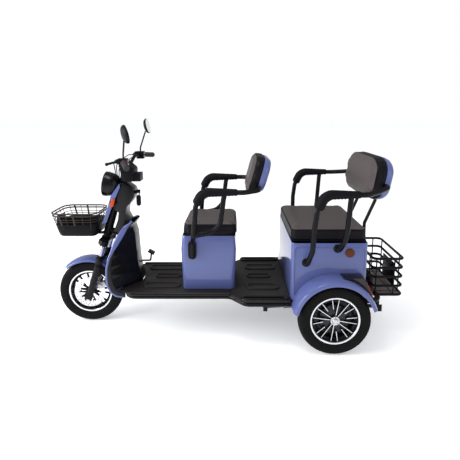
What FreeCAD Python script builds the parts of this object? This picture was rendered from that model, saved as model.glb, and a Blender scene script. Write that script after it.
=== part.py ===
"""Two-seat electric tricycle for passengers: one steered front wheel, two driven rear wheels.

Millimetres. +X points forward, +Y to the rider's left and +Z up. The origin lies on the
ground below the middle of the vehicle.
"""
import FreeCAD, Part
import math
import os
import Sketcher
from FreeCAD import Placement, Rotation, Vector

DRIVING_SIZES = (
    # alias, millimetres or degrees, what it measures
    ("wheel_radius", 206.5, "outside of a 3.00-10 tyre"),
    ("tyre_half_width", 42, "middle plane to sidewall"),
    ("tyre_groove", 0.6, "gap between the bead and the rim"),
    ("rim_lip_radius", 141, "edge of the rim flange"),
    ("rim_seat_radius", 131, "where the bead sits"),
    ("rim_half_width", 33, "middle plane to the rim edge"),
    ("rim_wall", 5, "metal of the barrel"),
    ("spoke_width", 8, "rib of a cast spoke"),
    ("spoke_depth", 13, "rib along the axle"),
    ("spoke_count", 16, "ribs in a wheel"),
    ("hub_radius", 30, "cast hub"),
    ("front_axle_x", 880, "front wheel centre"),
    ("rear_axle_x", -630, "rear wheel centre"),
    ("wheel_outset", 65, "middle plane of a rear wheel outside the body"),
    ("rake", 17.5, "steering axis back from the vertical"),
    ("fork_half_spacing", 85, "middle of a fork leg"),
    ("fork_setback", 14, "fork leg behind the steering axis"),
    ("fork_lower_radius", 21, "slider tube"),
    ("stanchion_radius", 15.5, "chromed fork tube"),
    ("fork_lower_top", 262, "along the steering axis from the front axle"),
    ("crown_low", 352, "along the steering axis"),
    ("crown_high", 382, "along the steering axis"),
    ("head_tube_low", 399, "along the steering axis"),
    ("head_tube_high", 590, "along the steering axis"),
    ("head_tube_radius", 26, "outside"),
    ("stem_radius", 14, "steering stem"),
    ("stem_top", 862, "along the steering axis"),
    ("front_axle_radius", 8, "spindle"),
    ("disc_radius", 100, "front brake disc"),
    ("disc_plane", 41, "inner face of the disc"),
    ("disc_thick", 3.5, "brake disc"),
    ("front_fender_radius", 231, "top of the front mudguard"),
    ("front_fender_half", 58, "half its width"),
    ("fender_wall", 3, "mudguard skin"),
    ("frame_tube_radius", 16, "perimeter tube"),
    ("frame_height", 268, "middle of the frame tubes"),
    ("beam_half_spacing", 110, "middle of a main beam"),
    ("floor_skin", 5.7, "floor pan"),
    ("floor_lip", 8, "raised edge of the floor"),
    ("front_floor_half", 250, "front floor"),
    ("rear_floor_half", 350, "rear floor"),
    ("front_floor_end", 632, "forward edge under the leg shield"),
    ("floor_notch", 530, "rear edge of the way cut for the down tube"),
    ("floor_corner", 60, "cut across the front corners of the front floor"),
    ("step_corner", 88, "cut across the front corners of the rear floor"),
    ("frame_nose_x", 590, "foremost frame tube"),
    ("floor_step_x", -40, "where the floor widens"),
    ("rear_floor_end", -388, "rear edge at the body"),
    ("box_front_x", 253, "front seat box"),
    ("box_rear_x", -65, "front seat box"),
    ("box_half", 180, "front seat box"),
    ("box_top", 630, "rim of the front seat box"),
    ("box_bulge", 9, "swell of its front and rear walls"),
    ("box_wall", 4, "moulded wall"),
    ("body_swell", 0.5, "swell of the rear body's walls"),
    ("corner_round", 25, "upright corners"),
    ("cushion_low", 640, "underside of the seat cushions"),
    ("cushion_high", 710, "top of the seat cushions"),
    ("front_cushion_half", 195, "half its width"),
    ("front_cushion_front", 250, "forward edge"),
    ("front_cushion_rear", -82, "rear edge"),
    ("rest_round", 58, "corners of the backrests, seen from ahead"),
    ("rest_clear", 0.3, "gap between parts that rest on one another"),
    ("turn_clear", 0.08, "gap round a shaft that turns"),
    ("body_front_x", -390, "rear body"),
    ("body_rear_x", -828, "rear body"),
    ("body_half", 320, "rear body"),
    ("rear_cushion_half", 300, "half its width"),
    ("rear_cushion_front", -380, "forward edge"),
    ("rear_cushion_rear", -835, "rear edge"),
    ("front_rest_half", 190, "front backrest"),
    ("rear_rest_half", 290, "rear backrest"),
    ("front_arm_y", 276, "armrest tube"),
    ("rear_arm_outset", 93, "armrest tube outside the body"),
    ("arm_tube_radius", 12.5, "armrest tube"),
    ("rear_fender_radius", 243, "top of a rear mudguard"),
    ("rear_fender_outset", 127, "outer edge of a rear mudguard outside the body"),
    ("spring_y", 290, "leaf spring"),
    ("spring_width", 40, "leaf"),
    ("leaf_thick", 5, "leaf"),
    ("spring_front_x", -245, "front eye of the leaf spring"),
    ("spring_rear_x", -915, "rear eye of the leaf spring"),
    ("hanger_drop", 28, "spring eye below the frame tube"),
    ("axle_tube_radius", 25, "rear axle tube"),
    ("half_shaft_radius", 12, "shaft end that carries a rear wheel"),
    ("gearbox_radius", 68, "differential case"),
    ("motor_radius", 60, "motor case"),
    ("tunnel_half", 52, "raised middle of the leg shield"),
    ("liner_round", 16, "thickness of the leg shield at its edge"),
    ("shield_skin", 4, "moulded shell"),
    ("column_half", 54, "cover behind the steering column"),
    ("cowl_half", 66, "narrow front cowl"),
    ("headlamp_radius", 78, "lamp shell"),
    ("front_basket_half", 135, "wire basket ahead of the column"),
    ("front_basket_rim", 753, "its top wire"),
    ("front_basket_floor", 600, "its floor"),
    ("front_basket_front", 1078, "its top wire"),
    ("front_basket_rear", 775, "its top wire"),
    ("rear_basket_half", 210, "wire basket behind the body"),
    ("rear_basket_rim", 500, "its top wire"),
    ("rear_basket_floor", 256, "its floor"),
    ("rear_basket_front", -895, "its top wire"),
    ("rear_basket_rear", -1094, "its top wire"),
    ("wire_thick", 5, "basket wire"),
    ("arm_pad_radius", 21, "padded sleeve on an armrest"),
    ("stay_y", 140, "stays behind the rear backrest"),
    ("stay_radius", 10, "stays behind the rear backrest"),
    ("tail_lamp_width", 74.7, "from the body to the outer end of a tail lamp"),
    ("reflector_radius", 26, "round side reflector"),
    ("bar_radius", 11, "handlebar tube"),
    ("bar_height", 1036, "middle of the handlebar clamp"),
    ("grip_radius", 16, "rubber grip"),
    ("battery_length", 250, "battery pack in the front box"),
    ("battery_width", 300, "battery pack"),
    ("battery_height", 170, "battery pack"),
)

doc = FreeCAD.newDocument("electric_tricycle")
sheet = doc.addObject("Spreadsheet::Sheet", "Sizes")


class Measure:
    """A number that remembers the spreadsheet formula it comes from."""

    def __init__(self, value, formula):
        self.value = float(value)
        self.formula = formula

    def __float__(self):
        return self.value

    def __add__(self, other):
        return Measure(self.value + float(other), f"({self.formula} + {text(other)})")

    def __radd__(self, other):
        return Measure(float(other) + self.value, f"({text(other)} + {self.formula})")

    def __sub__(self, other):
        return Measure(self.value - float(other), f"({self.formula} - {text(other)})")

    def __rsub__(self, other):
        return Measure(float(other) - self.value, f"({text(other)} - {self.formula})")

    def __mul__(self, other):
        return Measure(self.value * float(other), f"({self.formula} * {text(other)})")

    __rmul__ = __mul__

    def __truediv__(self, other):
        return Measure(self.value / float(other), f"({self.formula} / {text(other)})")

    def __neg__(self):
        return Measure(-self.value, f"(-1 * {self.formula})")


def text(number):
    """Writes a measure or a plain number the way a spreadsheet formula takes it."""
    return number.formula if isinstance(number, Measure) else repr(float(number))


def fill_sheet():
    """Writes the driving sizes into the sheet, one row each."""
    for row, (alias, value, note) in enumerate(DRIVING_SIZES, start=1):
        sheet.set(f"A{row}", alias)
        sheet.set(f"B{row}", str(value))
        sheet.set(f"C{row}", note)
        sheet.setAlias(f"B{row}", alias)
    doc.recompute()
    return {alias: Measure(sheet.get(alias), f"Sizes.{alias}") for alias, _, _ in DRIVING_SIZES}


size = fill_sheet()
size["floor_top"] = size["frame_height"] + size["frame_tube_radius"] + size["rest_clear"] + size["floor_skin"]
size["rear_track_half"] = size["body_half"] + size["wheel_outset"]
size["rear_arm_y"] = size["body_half"] + size["rear_arm_outset"]
size["rear_fender_out"] = size["body_half"] + size["rear_fender_outset"]
size["tail_lamp_out"] = size["body_half"] + size["rest_clear"] + size["tail_lamp_width"]
finished = []


def finish(item, node):
    """Names a finished sub-part after its node and keeps it for the export."""
    item.Label = node
    finished.append(item)
    return item


def bind(item, name, measure):
    """Ties a property to the sheet."""
    item.setExpression(name, text(measure))


def place(item, x, y, z, axis=Vector(0, 0, 1), angle=0):
    """Moves a finished sub-part to its place; each coordinate stays tied to the sheet."""
    item.Placement = Placement(Vector(float(x), float(y), float(z)), Rotation(axis, float(angle)))
    for name, value in (("x", x), ("y", y), ("z", z)):
        if isinstance(value, Measure):
            bind(item, f"Placement.Base.{name}", value)
    return item


def vec(x, y, z):
    return Vector(float(x), float(y), float(z))


# Parametric bodies: a closed outline in a sketch, then pads, pockets and revolutions

def new_body(node):
    return finish(doc.addObject("PartDesign::Body", "Body_" + node), node)


def outline(body, role, corners, offset=0):
    """Sketches a closed outline on one of the body's origin planes."""
    sketch = body.newObject("Sketcher::SketchObject", "Outline")
    plane = next(item for item in body.Origin.OriginFeatures if item.Role == role)
    sketch.AttachmentSupport = [(plane, "")]
    sketch.MapMode = "FlatFace"
    sketch.AttachmentOffset = Placement(Vector(0, 0, float(offset)), Rotation())
    if isinstance(offset, Measure):
        bind(sketch, "AttachmentOffset.Base.z", offset)
    points = [vec(across, up, 0) for across, up in corners]
    count = len(points)
    for index in range(count):
        sketch.addGeometry(Part.LineSegment(points[index], points[(index + 1) % count]))
    for index in range(count):
        sketch.addConstraint(Sketcher.Constraint("Coincident", index, 2, (index + 1) % count, 1))
    for index, corner in enumerate(corners):
        for kind, value in zip(("DistanceX", "DistanceY"), corner):
            pinned = Sketcher.Constraint(kind, -1, 1, index, 1, float(value))
            number = sketch.addConstraint(pinned)
            if isinstance(value, Measure):
                bind(sketch, f"Constraints[{number}]", value)
    return sketch


def pad(body, sketch, length, symmetric=False, reversed_=False):
    """Extrudes a sketch, to both sides where it is symmetric."""
    feature = body.newObject("PartDesign::Pad", "Pad")
    feature.Profile = sketch
    feature.Length = float(length)
    bind(feature, "Length", length)
    if symmetric:
        feature.SideType = "Symmetric"
    feature.Reversed = reversed_
    body.Tip = feature
    doc.recompute()
    return feature


def pocket(body, sketch, length, symmetric=False, reversed_=False):
    """Cuts a sketch out of the body and makes sure that something was cut."""
    before = body.Shape.Volume
    feature = body.newObject("PartDesign::Pocket", "Pocket")
    feature.Profile = sketch
    feature.Length = float(length)
    bind(feature, "Length", length)
    if symmetric:
        feature.SideType = "Symmetric"
    feature.Reversed = reversed_
    body.Tip = feature
    doc.recompute()
    if not body.Shape.Volume < before:
        raise ValueError(f"the pocket in {body.Label} cuts nothing")
    return feature


def revolve(body, sketch, angle=360.0):
    """Turns a sketch about its own horizontal axis."""
    feature = body.newObject("PartDesign::Revolution", "Revolution")
    feature.Profile = sketch
    feature.ReferenceAxis = (sketch, ["H_Axis"])
    feature.Angle = float(angle)
    bind(feature, "Angle", angle)
    body.Tip = feature
    doc.recompute()
    return feature


def round_edges(body, radius, chosen):
    """Rounds the edges that a test picks by their two ends."""
    base = body.Tip
    names = []
    for number, edge in enumerate(base.Shape.Edges, start=1):
        ends = [vertex.Point for vertex in edge.Vertexes]
        if len(ends) == 2 and chosen(*ends):
            names.append(f"Edge{number}")
    feature = body.newObject("PartDesign::Fillet", "Fillet")
    feature.Base = (base, names)
    feature.Radius = float(radius)
    bind(feature, "Radius", radius)
    body.Tip = feature
    doc.recompute()
    return feature


def upright(first, second):
    """An edge that runs mostly up."""
    return abs(first.z - second.z) > 2 * math.hypot(first.x - second.x, first.y - second.y)


def lengthwise(first, second):
    """An edge that runs mostly forward."""
    return abs(first.x - second.x) > 2 * math.hypot(first.y - second.y, first.z - second.z)


# Swept tubes, wires and shells

BEND_STEP = 0.45


def free_shape(node, shape):
    """A sub-part whose form is a sweep or a loft in space."""
    item = doc.addObject("Part::Feature", "Shape_" + node)
    item.Shape = shape
    return finish(item, node)


def bent_path(points, bend):
    """Straight runs whose corners are replaced by short runs round an arc."""
    points = [vec(*point) for point in points]
    track = [points[0]]
    for before, corner, after in zip(points, points[1:], points[2:]):
        inward = (before - corner).normalize()
        outward = (after - corner).normalize()
        turn = math.pi - inward.getAngle(outward)
        limit = 0.48 * min((before - corner).Length, (after - corner).Length)
        reach = min(float(bend) * math.tan(turn / 2), limit)
        radius = reach / math.tan(turn / 2)
        centre = corner + (inward + outward).normalize() * math.hypot(radius, reach)
        across = (corner + inward * reach - centre) / radius
        steps = max(1, round(turn / BEND_STEP))
        for step in range(steps):
            angle = (step + 0.5) * turn / steps
            arm = across * math.cos(angle) - inward * math.sin(angle)
            track.append(centre + arm * (radius / math.cos(turn / steps / 2)))
    return track + [points[-1]]


def tube(points, radius, bend=30.0, bore=0.0, sides=12):
    """A round bar or tube bent along a path, drawn with flat sides and mitred bends."""
    track = bent_path(points, bend)
    heading = (track[1] - track[0]).normalize()
    up = heading.cross(Vector(0, 1, 0))
    up = up.normalize() if up.Length > 0.1 else Vector(0, 0, 1)
    side = heading.cross(up)
    solid = None
    for section in (float(radius), float(bore)):
        if section <= 0:
            continue
        turns = [2 * math.pi * number / sides for number in range(sides + 1)]
        ring = [track[0] + (up * math.cos(turn) + side * math.sin(turn)) * section for turn in turns]
        swept = Part.makePolygon(track).makePipeShell([Part.makePolygon(ring)], True, False, 1)
        solid = swept if solid is None else solid.cut(swept)
    return solid


def rod(first, second, radius):
    """A straight round bar between two points."""
    first = vec(*first)
    heading = vec(*second) - first
    return Part.makeCylinder(float(radius), heading.Length, first, heading)


def join(shapes):
    """One solid out of several that overlap."""
    first, *rest = shapes
    return first.fuse(rest).removeSplitter() if rest else first


def mirrored(shape):
    """The same shape on the other side of the vehicle."""
    return shape.mirror(Vector(0, 0, 0), Vector(0, 1, 0))


def both_sides(shape):
    return Part.makeCompound([shape, mirrored(shape)])


def prism(profile, low_y, high_y):
    """A side-view profile of (x, z) corners, extruded from one side to the other."""
    corners = [vec(x, low_y, z) for x, z in profile]
    face = Part.Face(Part.makePolygon(corners + corners[:1]))
    return face.extrude(Vector(0, float(high_y) - float(low_y), 0))


def axis_x(height):
    """Where the steering axis is at some height above the ground."""
    lean = math.tan(math.radians(float(size["rake"])))
    return float(size["front_axle_x"]) - (height - float(size["wheel_radius"])) * lean


def ahead(profile):
    """Turns (distance ahead of the steering axis, height) pairs into side-view corners."""
    return [(axis_x(height) + reach, height) for reach, height in profile]


def inset(profile, wall):
    """The same side-view outline, drawn in by a wall thickness."""
    corners = [vec(x, 0, z) for x, z in profile]
    face = Part.Face(Part.makePolygon(corners + corners[:1]))
    inner = face.makeOffset2D(-float(wall), 2)
    return [(point.x, point.z) for point in (vertex.Point for vertex in inner.OuterWire.OrderedVertexes)]


def on_fork(item):
    """Sets a sub-part that was drawn along the steering axis onto the front axle."""
    item.Placement = Placement(vec(size["front_axle_x"], 0, size["wheel_radius"]),
                               Rotation(Vector(0, 1, 0), -float(size["rake"])))
    bind(item, "Placement.Base.x", size["front_axle_x"])
    bind(item, "Placement.Base.z", size["wheel_radius"])
    return item


def fork_shape(node, shape):
    """A free shape that was drawn along the steering axis."""
    return on_fork(free_shape(node, shape))


# Wheels

def tyre(node, x, y):
    """A low-profile scooter tyre, drawn about its own axle."""
    body = new_body(node)
    wide = size["tyre_half_width"]
    top = size["wheel_radius"]
    lip = size["rim_lip_radius"]
    bead = size["rim_seat_radius"] + size["tyre_groove"]
    inner = size["rim_half_width"] - 7.3
    half = ((inner, bead), (size["rim_half_width"] - 4.4, lip + size["tyre_groove"]),
            (size["rim_half_width"] + 1, lip + size["tyre_groove"]), (wide - 3, lip + 11),
            (wide, lip + 29), (wide - 3.5, top - 17), (wide - 16, top - 4.5), (wide - 33, top))
    corners = list(half) + [(-across, up) for across, up in reversed(half)]
    revolve(body, outline(body, "YZ_Plane", corners))
    return place(body, x, y, size["wheel_radius"])


def rim(node, x, y, face, outboard, bore, hub_in, hub_out):
    """A cast wheel: dropped barrel, hub and machined ribs."""
    body = new_body(node)
    half = size["rim_half_width"]
    lip = size["rim_lip_radius"]
    seat = size["rim_seat_radius"]
    wall = size["rim_wall"]
    outer = ((half, lip), (half - 4, lip), (half - 7, seat), (half - 21, seat - 2), (half - 25, seat - 11))
    inner = ((half - 23, seat - 11 - wall), (half - 18, seat - 2 - wall), (half, seat - wall))
    corners = list(outer) + [(-across, up) for across, up in reversed(outer)]
    corners += [(-across, up) for across, up in reversed(inner)] + list(inner)
    revolve(body, outline(body, "YZ_Plane", corners))
    hub = ((hub_in, bore), (hub_out, bore), (hub_out, size["hub_radius"] - 4),
           (hub_out - 4, size["hub_radius"]), (hub_in + 4, size["hub_radius"]), (hub_in, size["hub_radius"] - 4))
    revolve(body, outline(body, "YZ_Plane", hub))
    width = size["spoke_width"] / 2
    rib = ((-width, size["hub_radius"] - 3), (width, size["hub_radius"] - 3),
           (width * 0.75, seat - wall + 1.5), (-width * 0.75, seat - wall + 1.5))
    spoke = pad(body, outline(body, "XZ_Plane", rib, -face), size["spoke_depth"], reversed_=False)
    pattern = body.newObject("PartDesign::PolarPattern", "Spokes")
    pattern.Originals = [spoke]
    pattern.Axis = (next(a for a in body.Origin.OriginFeatures if a.Role == "Y_Axis"), [""])
    pattern.Angle = 360
    pattern.Occurrences = int(float(size["spoke_count"]))
    bind(pattern, "Occurrences", size["spoke_count"])
    body.Tip = pattern
    doc.recompute()
    return place(body, x, y, size["wheel_radius"], angle=0 if outboard > 0 else 180)


def wheels():
    track = size["rear_track_half"]
    tyre("front_tyre", size["front_axle_x"], 0)
    tyre("rear_tyre_left", size["rear_axle_x"], track)
    tyre("rear_tyre_right", size["rear_axle_x"], -track)
    rim("front_rim", size["front_axle_x"], 0, size["spoke_depth"] / 2, 1, size["front_axle_radius"] + size["turn_clear"],
        Measure(-38, "-38"), Measure(38, "38"))
    for side, word in ((1, "left"), (-1, "right")):
        rim(f"rear_rim_{word}", size["rear_axle_x"], track * side, Measure(25, "25"), side,
            size["half_shaft_radius"] + size["turn_clear"], Measure(-36, "-36"), Measure(34, "34"))


def brake_disc():
    """A drilled disc on the left of the front hub."""
    body = new_body("front_disc")
    near = size["disc_plane"]
    far = size["disc_plane"] + size["disc_thick"]
    ring = ((near, size["disc_radius"] * 0.62), (far, size["disc_radius"] * 0.62),
            (far, size["disc_radius"]), (near, size["disc_radius"]))
    revolve(body, outline(body, "YZ_Plane", ring))
    carrier = ((near - 2.7, size["front_axle_radius"] + size["turn_clear"]), (far, size["front_axle_radius"] + size["turn_clear"]),
               (far, size["disc_radius"] * 0.66), (near, size["disc_radius"] * 0.66), (near, 26),
               (near - 2.7, 26))
    revolve(body, outline(body, "YZ_Plane", carrier))
    place(body, size["front_axle_x"], 0, size["wheel_radius"])


# Steering: everything that turns with the handlebar

def fork():
    """Telescopic fork: crown and stem, chromed tubes, sliders with the axle."""
    spacing = float(size["fork_half_spacing"])
    setback = -float(size["fork_setback"])
    low, high = float(size["crown_low"]), float(size["crown_high"])
    crown = Part.makeBox(58, 2 * spacing, high - low, Vector(setback - 22, -spacing, low))
    ends = [Part.makeCylinder(27, high - low, Vector(setback, side * spacing, low)) for side in (1, -1)]
    race = Part.makeCylinder(22, float(size["head_tube_low"]) - high - 0.3, Vector(0, 0, high))
    stem = Part.makeCylinder(float(size["stem_radius"]), float(size["stem_top"]) - high, Vector(0, 0, high))
    boss = Part.makeCylinder(29, high - low, Vector(0, 0, low))
    fork_shape("steering_stem", join([crown, boss, race, stem] + ends))

    tubes = []
    sliders = []
    for side in (1, -1):
        foot = Vector(setback, side * spacing, 118)
        tubes.append(Part.makeCylinder(float(size["stanchion_radius"]), low - foot.z, foot))
        slider = Part.makeCylinder(float(size["fork_lower_radius"]), float(size["fork_lower_top"]) + 22,
                                   Vector(setback, side * spacing, -22))
        collar = Part.makeCylinder(float(size["fork_lower_radius"]) + 3, 22,
                                   Vector(setback, side * spacing, float(size["fork_lower_top"]) - 22))
        lug = Part.makeCylinder(20, 30, Vector(0, side * spacing - 15, 0), Vector(0, 1, 0))
        bore = Part.makeCylinder(float(size["stanchion_radius"]) + 0.3, 200, Vector(setback, side * spacing, 117.7))
        sliders.append(join([slider, collar, lug]).cut(bore))
    free = Part.makeCompound(tubes)
    fork_shape("fork_stanchions", free)
    brace = Part.makeBox(26, 2 * spacing - 34, 6,
                         Vector(setback - 13, 17 - spacing, float(size["front_fender_radius"]) + 0.3))
    axle = Part.makeCylinder(float(size["front_axle_radius"]), 2 * spacing + 40,
                             Vector(0, -spacing - 20, 0), Vector(0, 1, 0))
    fork_shape("fork_lowers", join(sliders + [brace, axle]))


def front_fender():
    """A mudguard turned about the front axle, with rolled sides."""
    body = new_body("front_fender")
    half = size["front_fender_half"]
    top = size["front_fender_radius"]
    wall = size["fender_wall"]
    outer = ((half, top - 22), (half - 5, top - 10), (half - 28, top), (28 - half, top), (5 - half, top - 10),
             (-half, top - 22))
    inner = ((wall - half, top - 22), (wall + 5 - half, top - 10 - wall), (28 - half, top - wall),
             (half - 28, top - wall), (half - 5 - wall, top - 10 - wall), (half - wall, top - 22))
    revolve(body, outline(body, "YZ_Plane", outer + inner), Measure(108, "108"))
    place(body, size["front_axle_x"], 0, size["wheel_radius"], Vector(0, 1, 0), -68)


def handlebar():
    """The bar, its grips, the hand controls, the head cover and the mirrors."""
    height = float(size["bar_height"])
    middle = axis_x(height) - 18
    half_bar = [(middle, 0, height), (middle + 6, 70, height + 4), (middle - 2, 140, height + 42),
                (middle - 36, 240, height + 42), (middle - 80, 350, height + 28)]
    whole = [(x, -y, z) for x, y, z in reversed(half_bar)][:-1] + half_bar[1:]
    radius = float(size["bar_radius"])
    free_shape("handlebar", tube(whole, radius, bend=45))

    inner = Vector(*half_bar[-2])
    outer = Vector(*half_bar[-1])
    heading = (outer - inner).normalize()
    grip = rod(tuple(inner + heading * 6), tuple(outer + heading * 4), float(size["grip_radius"]))
    grip = grip.cut(rod(tuple(inner), tuple(outer), radius + 0.3))
    grip = grip.cut(rod(tuple(outer - heading), tuple(outer + heading * 0.3), radius + 0.3))
    free_shape("handlebar_grips", both_sides(grip))

    pods = []
    for side in (1, -1):
        hub = Vector(middle - 26, side * 212, height + 42)
        pod = Part.makeBox(46, 44, 48, hub - Vector(23, 22, 24))
        lever = tube([(hub.x, hub.y, hub.z), (hub.x + 52, hub.y + side * 6, hub.z + 2),
                      (hub.x + 62, hub.y + side * 110, hub.z + 4)], 5, bend=12, sides=8)
        way = Vector(*half_bar[-2]) - Vector(*half_bar[-3])
        near = Vector(half_bar[-2][0], side * half_bar[-2][1], half_bar[-2][2])
        way = Vector(way.x, side * way.y, way.z).normalize()
        pods.append(join([pod, lever]).cut(rod(tuple(near - way * 90), tuple(near + way * 9), radius + 0.3)))
    free_shape("hand_controls", Part.makeCompound(pods))

    cover = prism([(middle - 34, height - 98), (middle + 30, height - 98), (middle + 52, height + 24),
                   (middle + 20, height + 34), (middle - 42, height - 20)], -56, 56)
    cover = cover.makeChamfer(8, [e for e in cover.Edges if abs(e.Length - 112) < 0.01])
    clear = tube(whole, radius + 0.3, bend=45)
    top = float(size["stem_top"])
    stem = Part.makeCylinder(float(size["stem_radius"]) + 0.3, top + 0.3)
    stem.Placement = Placement(vec(size["front_axle_x"], 0, size["wheel_radius"]),
                               Rotation(Vector(0, 1, 0), -float(size["rake"])))
    dash = Part.makeBox(60, 84, 50, Vector(middle - 76, -42, height - 98))
    free_shape("handlebar_cover", join([cover, dash]).cut([clear, stem]))


def mirrors():
    stalks = []
    shells = []
    height = float(size["bar_height"])
    middle = axis_x(height) - 18
    for side, drop, turn_in in ((1, 20, 26), (-1, 0, -10)):
        foot = Vector(middle - 26, side * 212, height + 66.3)
        bend = foot + Vector(0, 0, 22)
        knee = Vector(middle - 30, side * 232, height + 120)
        neck = Vector(middle - 58, side * 318, height + 192 - drop)
        stalks.append(tube([tuple(foot), tuple(bend), tuple(knee), tuple(neck)], 5, bend=40))
        rings = []
        for x, wide, tall in ((19, 30, 26), (10, 55, 45), (-6, 64, 52)):
            turns = [2 * math.pi * number / 20 for number in range(21)]
            rings.append(Part.makePolygon([Vector(x, wide * math.cos(turn), tall * math.sin(turn))
                                           for turn in turns]))
        shell = Part.makeLoft(rings, True, True)
        shell.Placement = Placement(Vector(neck.x - 2, neck.y + side * 6, neck.z + 40),
                                    Rotation(Vector(0, 0, 1), turn_in))
        shells.append(shell)
        stalks[-1] = stalks[-1].cut(shell)
    free_shape("mirrors", Part.makeCompound(stalks + shells))


def caliper():
    """The brake caliper behind the left fork leg, on a bracket that meets the slider."""
    near = float(size["disc_plane"])
    block = Part.makeBox(50, 25, 34, Vector(-25, near - 6, -17))
    block.Placement = Placement(Vector(-64, 0, 76), Rotation(Vector(0, 1, 0), 40))
    leg_x = -float(size["fork_setback"])
    bracket = Part.makeBox(58, 12, 22, Vector(leg_x - 58, near + 14, 58))
    disc_space = Part.makeCylinder(float(size["disc_radius"]) + 2, float(size["disc_thick"]) + 1.2,
                                   Vector(0, near - 0.6, 0), Vector(0, 1, 0))
    leg = Part.makeCylinder(float(size["fork_lower_radius"]), 300,
                            Vector(leg_x, float(size["fork_half_spacing"]), 0))
    fork_shape("front_caliper", join([block, bracket]).cut([disc_space, leg]))


# Frame, floors and running gear

def frame():
    level = float(size["frame_height"])
    radius = float(size["frame_tube_radius"])
    front_y = float(size["front_floor_half"]) - radius
    rear_y = float(size["rear_floor_half"]) - radius
    step = float(size["floor_step_x"])
    body_front = float(size["body_front_x"])
    tail = float(size["body_rear_x"]) - 50
    nose = float(size["frame_nose_x"])
    spring = float(size["spring_y"])
    side = tube([(nose, 0, level), (nose, front_y, level), (step, front_y, level), (step - 90, rear_y, level),
                 (body_front + 58, rear_y, level), (body_front - 20, spring, level), (tail - 47, spring, level)],
                radius, bend=60)
    rails = join([side, mirrored(side)])
    beam_y = float(size["beam_half_spacing"])
    beams = both_sides(tube([(nose - radius, beam_y, level), (tail + radius, beam_y, level)], radius))
    ties = []
    ties_at = (nose - 30, 300, 20, -240, -450, tail)
    for x, reach in zip(ties_at, (front_y, front_y, front_y, rear_y, spring, spring)):
        ties.append(tube([(x, -reach, level), (x, reach, level)], radius - 2))
    cut_back = [rails, beams.cut(ties[-1])]
    free_shape("frame_side_rails", rails)
    ties = [tie.cut(cut_back) for tie in ties]
    rack_z = float(size["rear_basket_floor"]) - float(size["rest_clear"]) - 5
    rack = both_sides(Part.makeBox(224, 24, 5, Vector(float(size["rear_basket_rear"]) + 6, 60, rack_z)))
    ties[-1] = ties[-1].fuse(rack)
    ladder = Part.makeCompound(ties + [beams.cut(cut_back[0]).cut(ties[-1])])
    free_shape("frame_ladder", ladder)

    low, high = float(size["head_tube_low"]), float(size["head_tube_high"])
    seat = Placement(vec(size["front_axle_x"], 0, size["wheel_radius"]),
                     Rotation(Vector(0, 1, 0), -float(size["rake"])))
    sleeve = Part.makeCylinder(float(size["head_tube_radius"]), high - low, Vector(0, 0, low))
    cups = [Part.makeCylinder(float(size["head_tube_radius"]) + 4, 12, Vector(0, 0, z)) for z in (low, high - 12)]
    head = join([sleeve] + cups)
    head.Placement = seat
    bore = Part.makeCylinder(float(size["stem_radius"]) + 0.3, high + 40)
    bore.Placement = seat
    joint_z = 616
    tie_x = ties_at[0]
    down = tube([(axis_x(joint_z), 0, joint_z), (axis_x(joint_z) - 62, 0, joint_z - 12), (tie_x + 30, 0, 470),
                 (tie_x + 2, 0, level + radius + 2)], 19, bend=50)
    foot_z = level + radius - 2 + float(size["rest_clear"])
    foot = Part.makeBox(38, 60, 8, Vector(tie_x - 25, -30, foot_z))
    shelf = Part.makeBox(119, 40, 7, Vector(783, -20, float(size["front_basket_floor"]) - 7.3))
    free_shape("head_tube", join([head, down, foot, shelf]).cut(bore))


def floors():
    """Both floors are shallow pans with a raised edge and corners cut off in front."""
    top = size["floor_top"]
    skin = size["floor_skin"]
    front, step, notch = size["front_floor_end"], size["floor_step_x"], size["floor_notch"]
    for node, front, rear, half, cut in (
            ("front_floor", front, step, size["front_floor_half"], size["floor_corner"]),
            ("rear_floor", step - 1, size["rear_floor_end"], size["rear_floor_half"], size["step_corner"])):
        body = new_body(node)
        way = ((front, 34), (notch, 34), (notch, -34), (front, -34)) if node == "front_floor" else ()
        plate = ((front - cut, half), (rear, half), (rear, -half), (front - cut, -half), (front, cut - half))
        plate += tuple((x, -y) for x, y in way) + ((front, half - cut),)
        pad(body, outline(body, "XY_Plane", plate, top - skin), skin + size["floor_lip"])
        well = ((front + 5, half - 9), (rear - 5, half - 9), (rear - 5, 9 - half), (front + 5, 9 - half))
        pocket(body, outline(body, "XY_Plane", well, top + size["floor_lip"]), size["floor_lip"])


def running_gear():
    """Rear axle with its differential, the motor ahead of it and the springs above it."""
    level = float(size["wheel_radius"])
    x = float(size["rear_axle_x"])
    tube_end = float(size["rear_track_half"]) - 42
    housing = rod((x, -tube_end, level), (x, tube_end, level), size["axle_tube_radius"])
    case = rod((x, -42, level), (x, 42, level), size["gearbox_radius"])
    case = case.makeChamfer(16, [edge for edge in case.Edges if edge.isClosed()])
    shaft_end = float(size["rear_track_half"]) + 33
    shaft = rod((x, -shaft_end, level), (x, shaft_end, level), size["half_shaft_radius"])
    motor_x = x + float(size["gearbox_radius"]) + float(size["motor_radius"]) - 8
    motor = rod((motor_x, -95, level - 28), (motor_x, 70, level - 28), size["motor_radius"])
    free_shape("rear_axle", join([housing, case, shaft]))
    free_shape("drive_motor", motor.cut(case))


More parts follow.
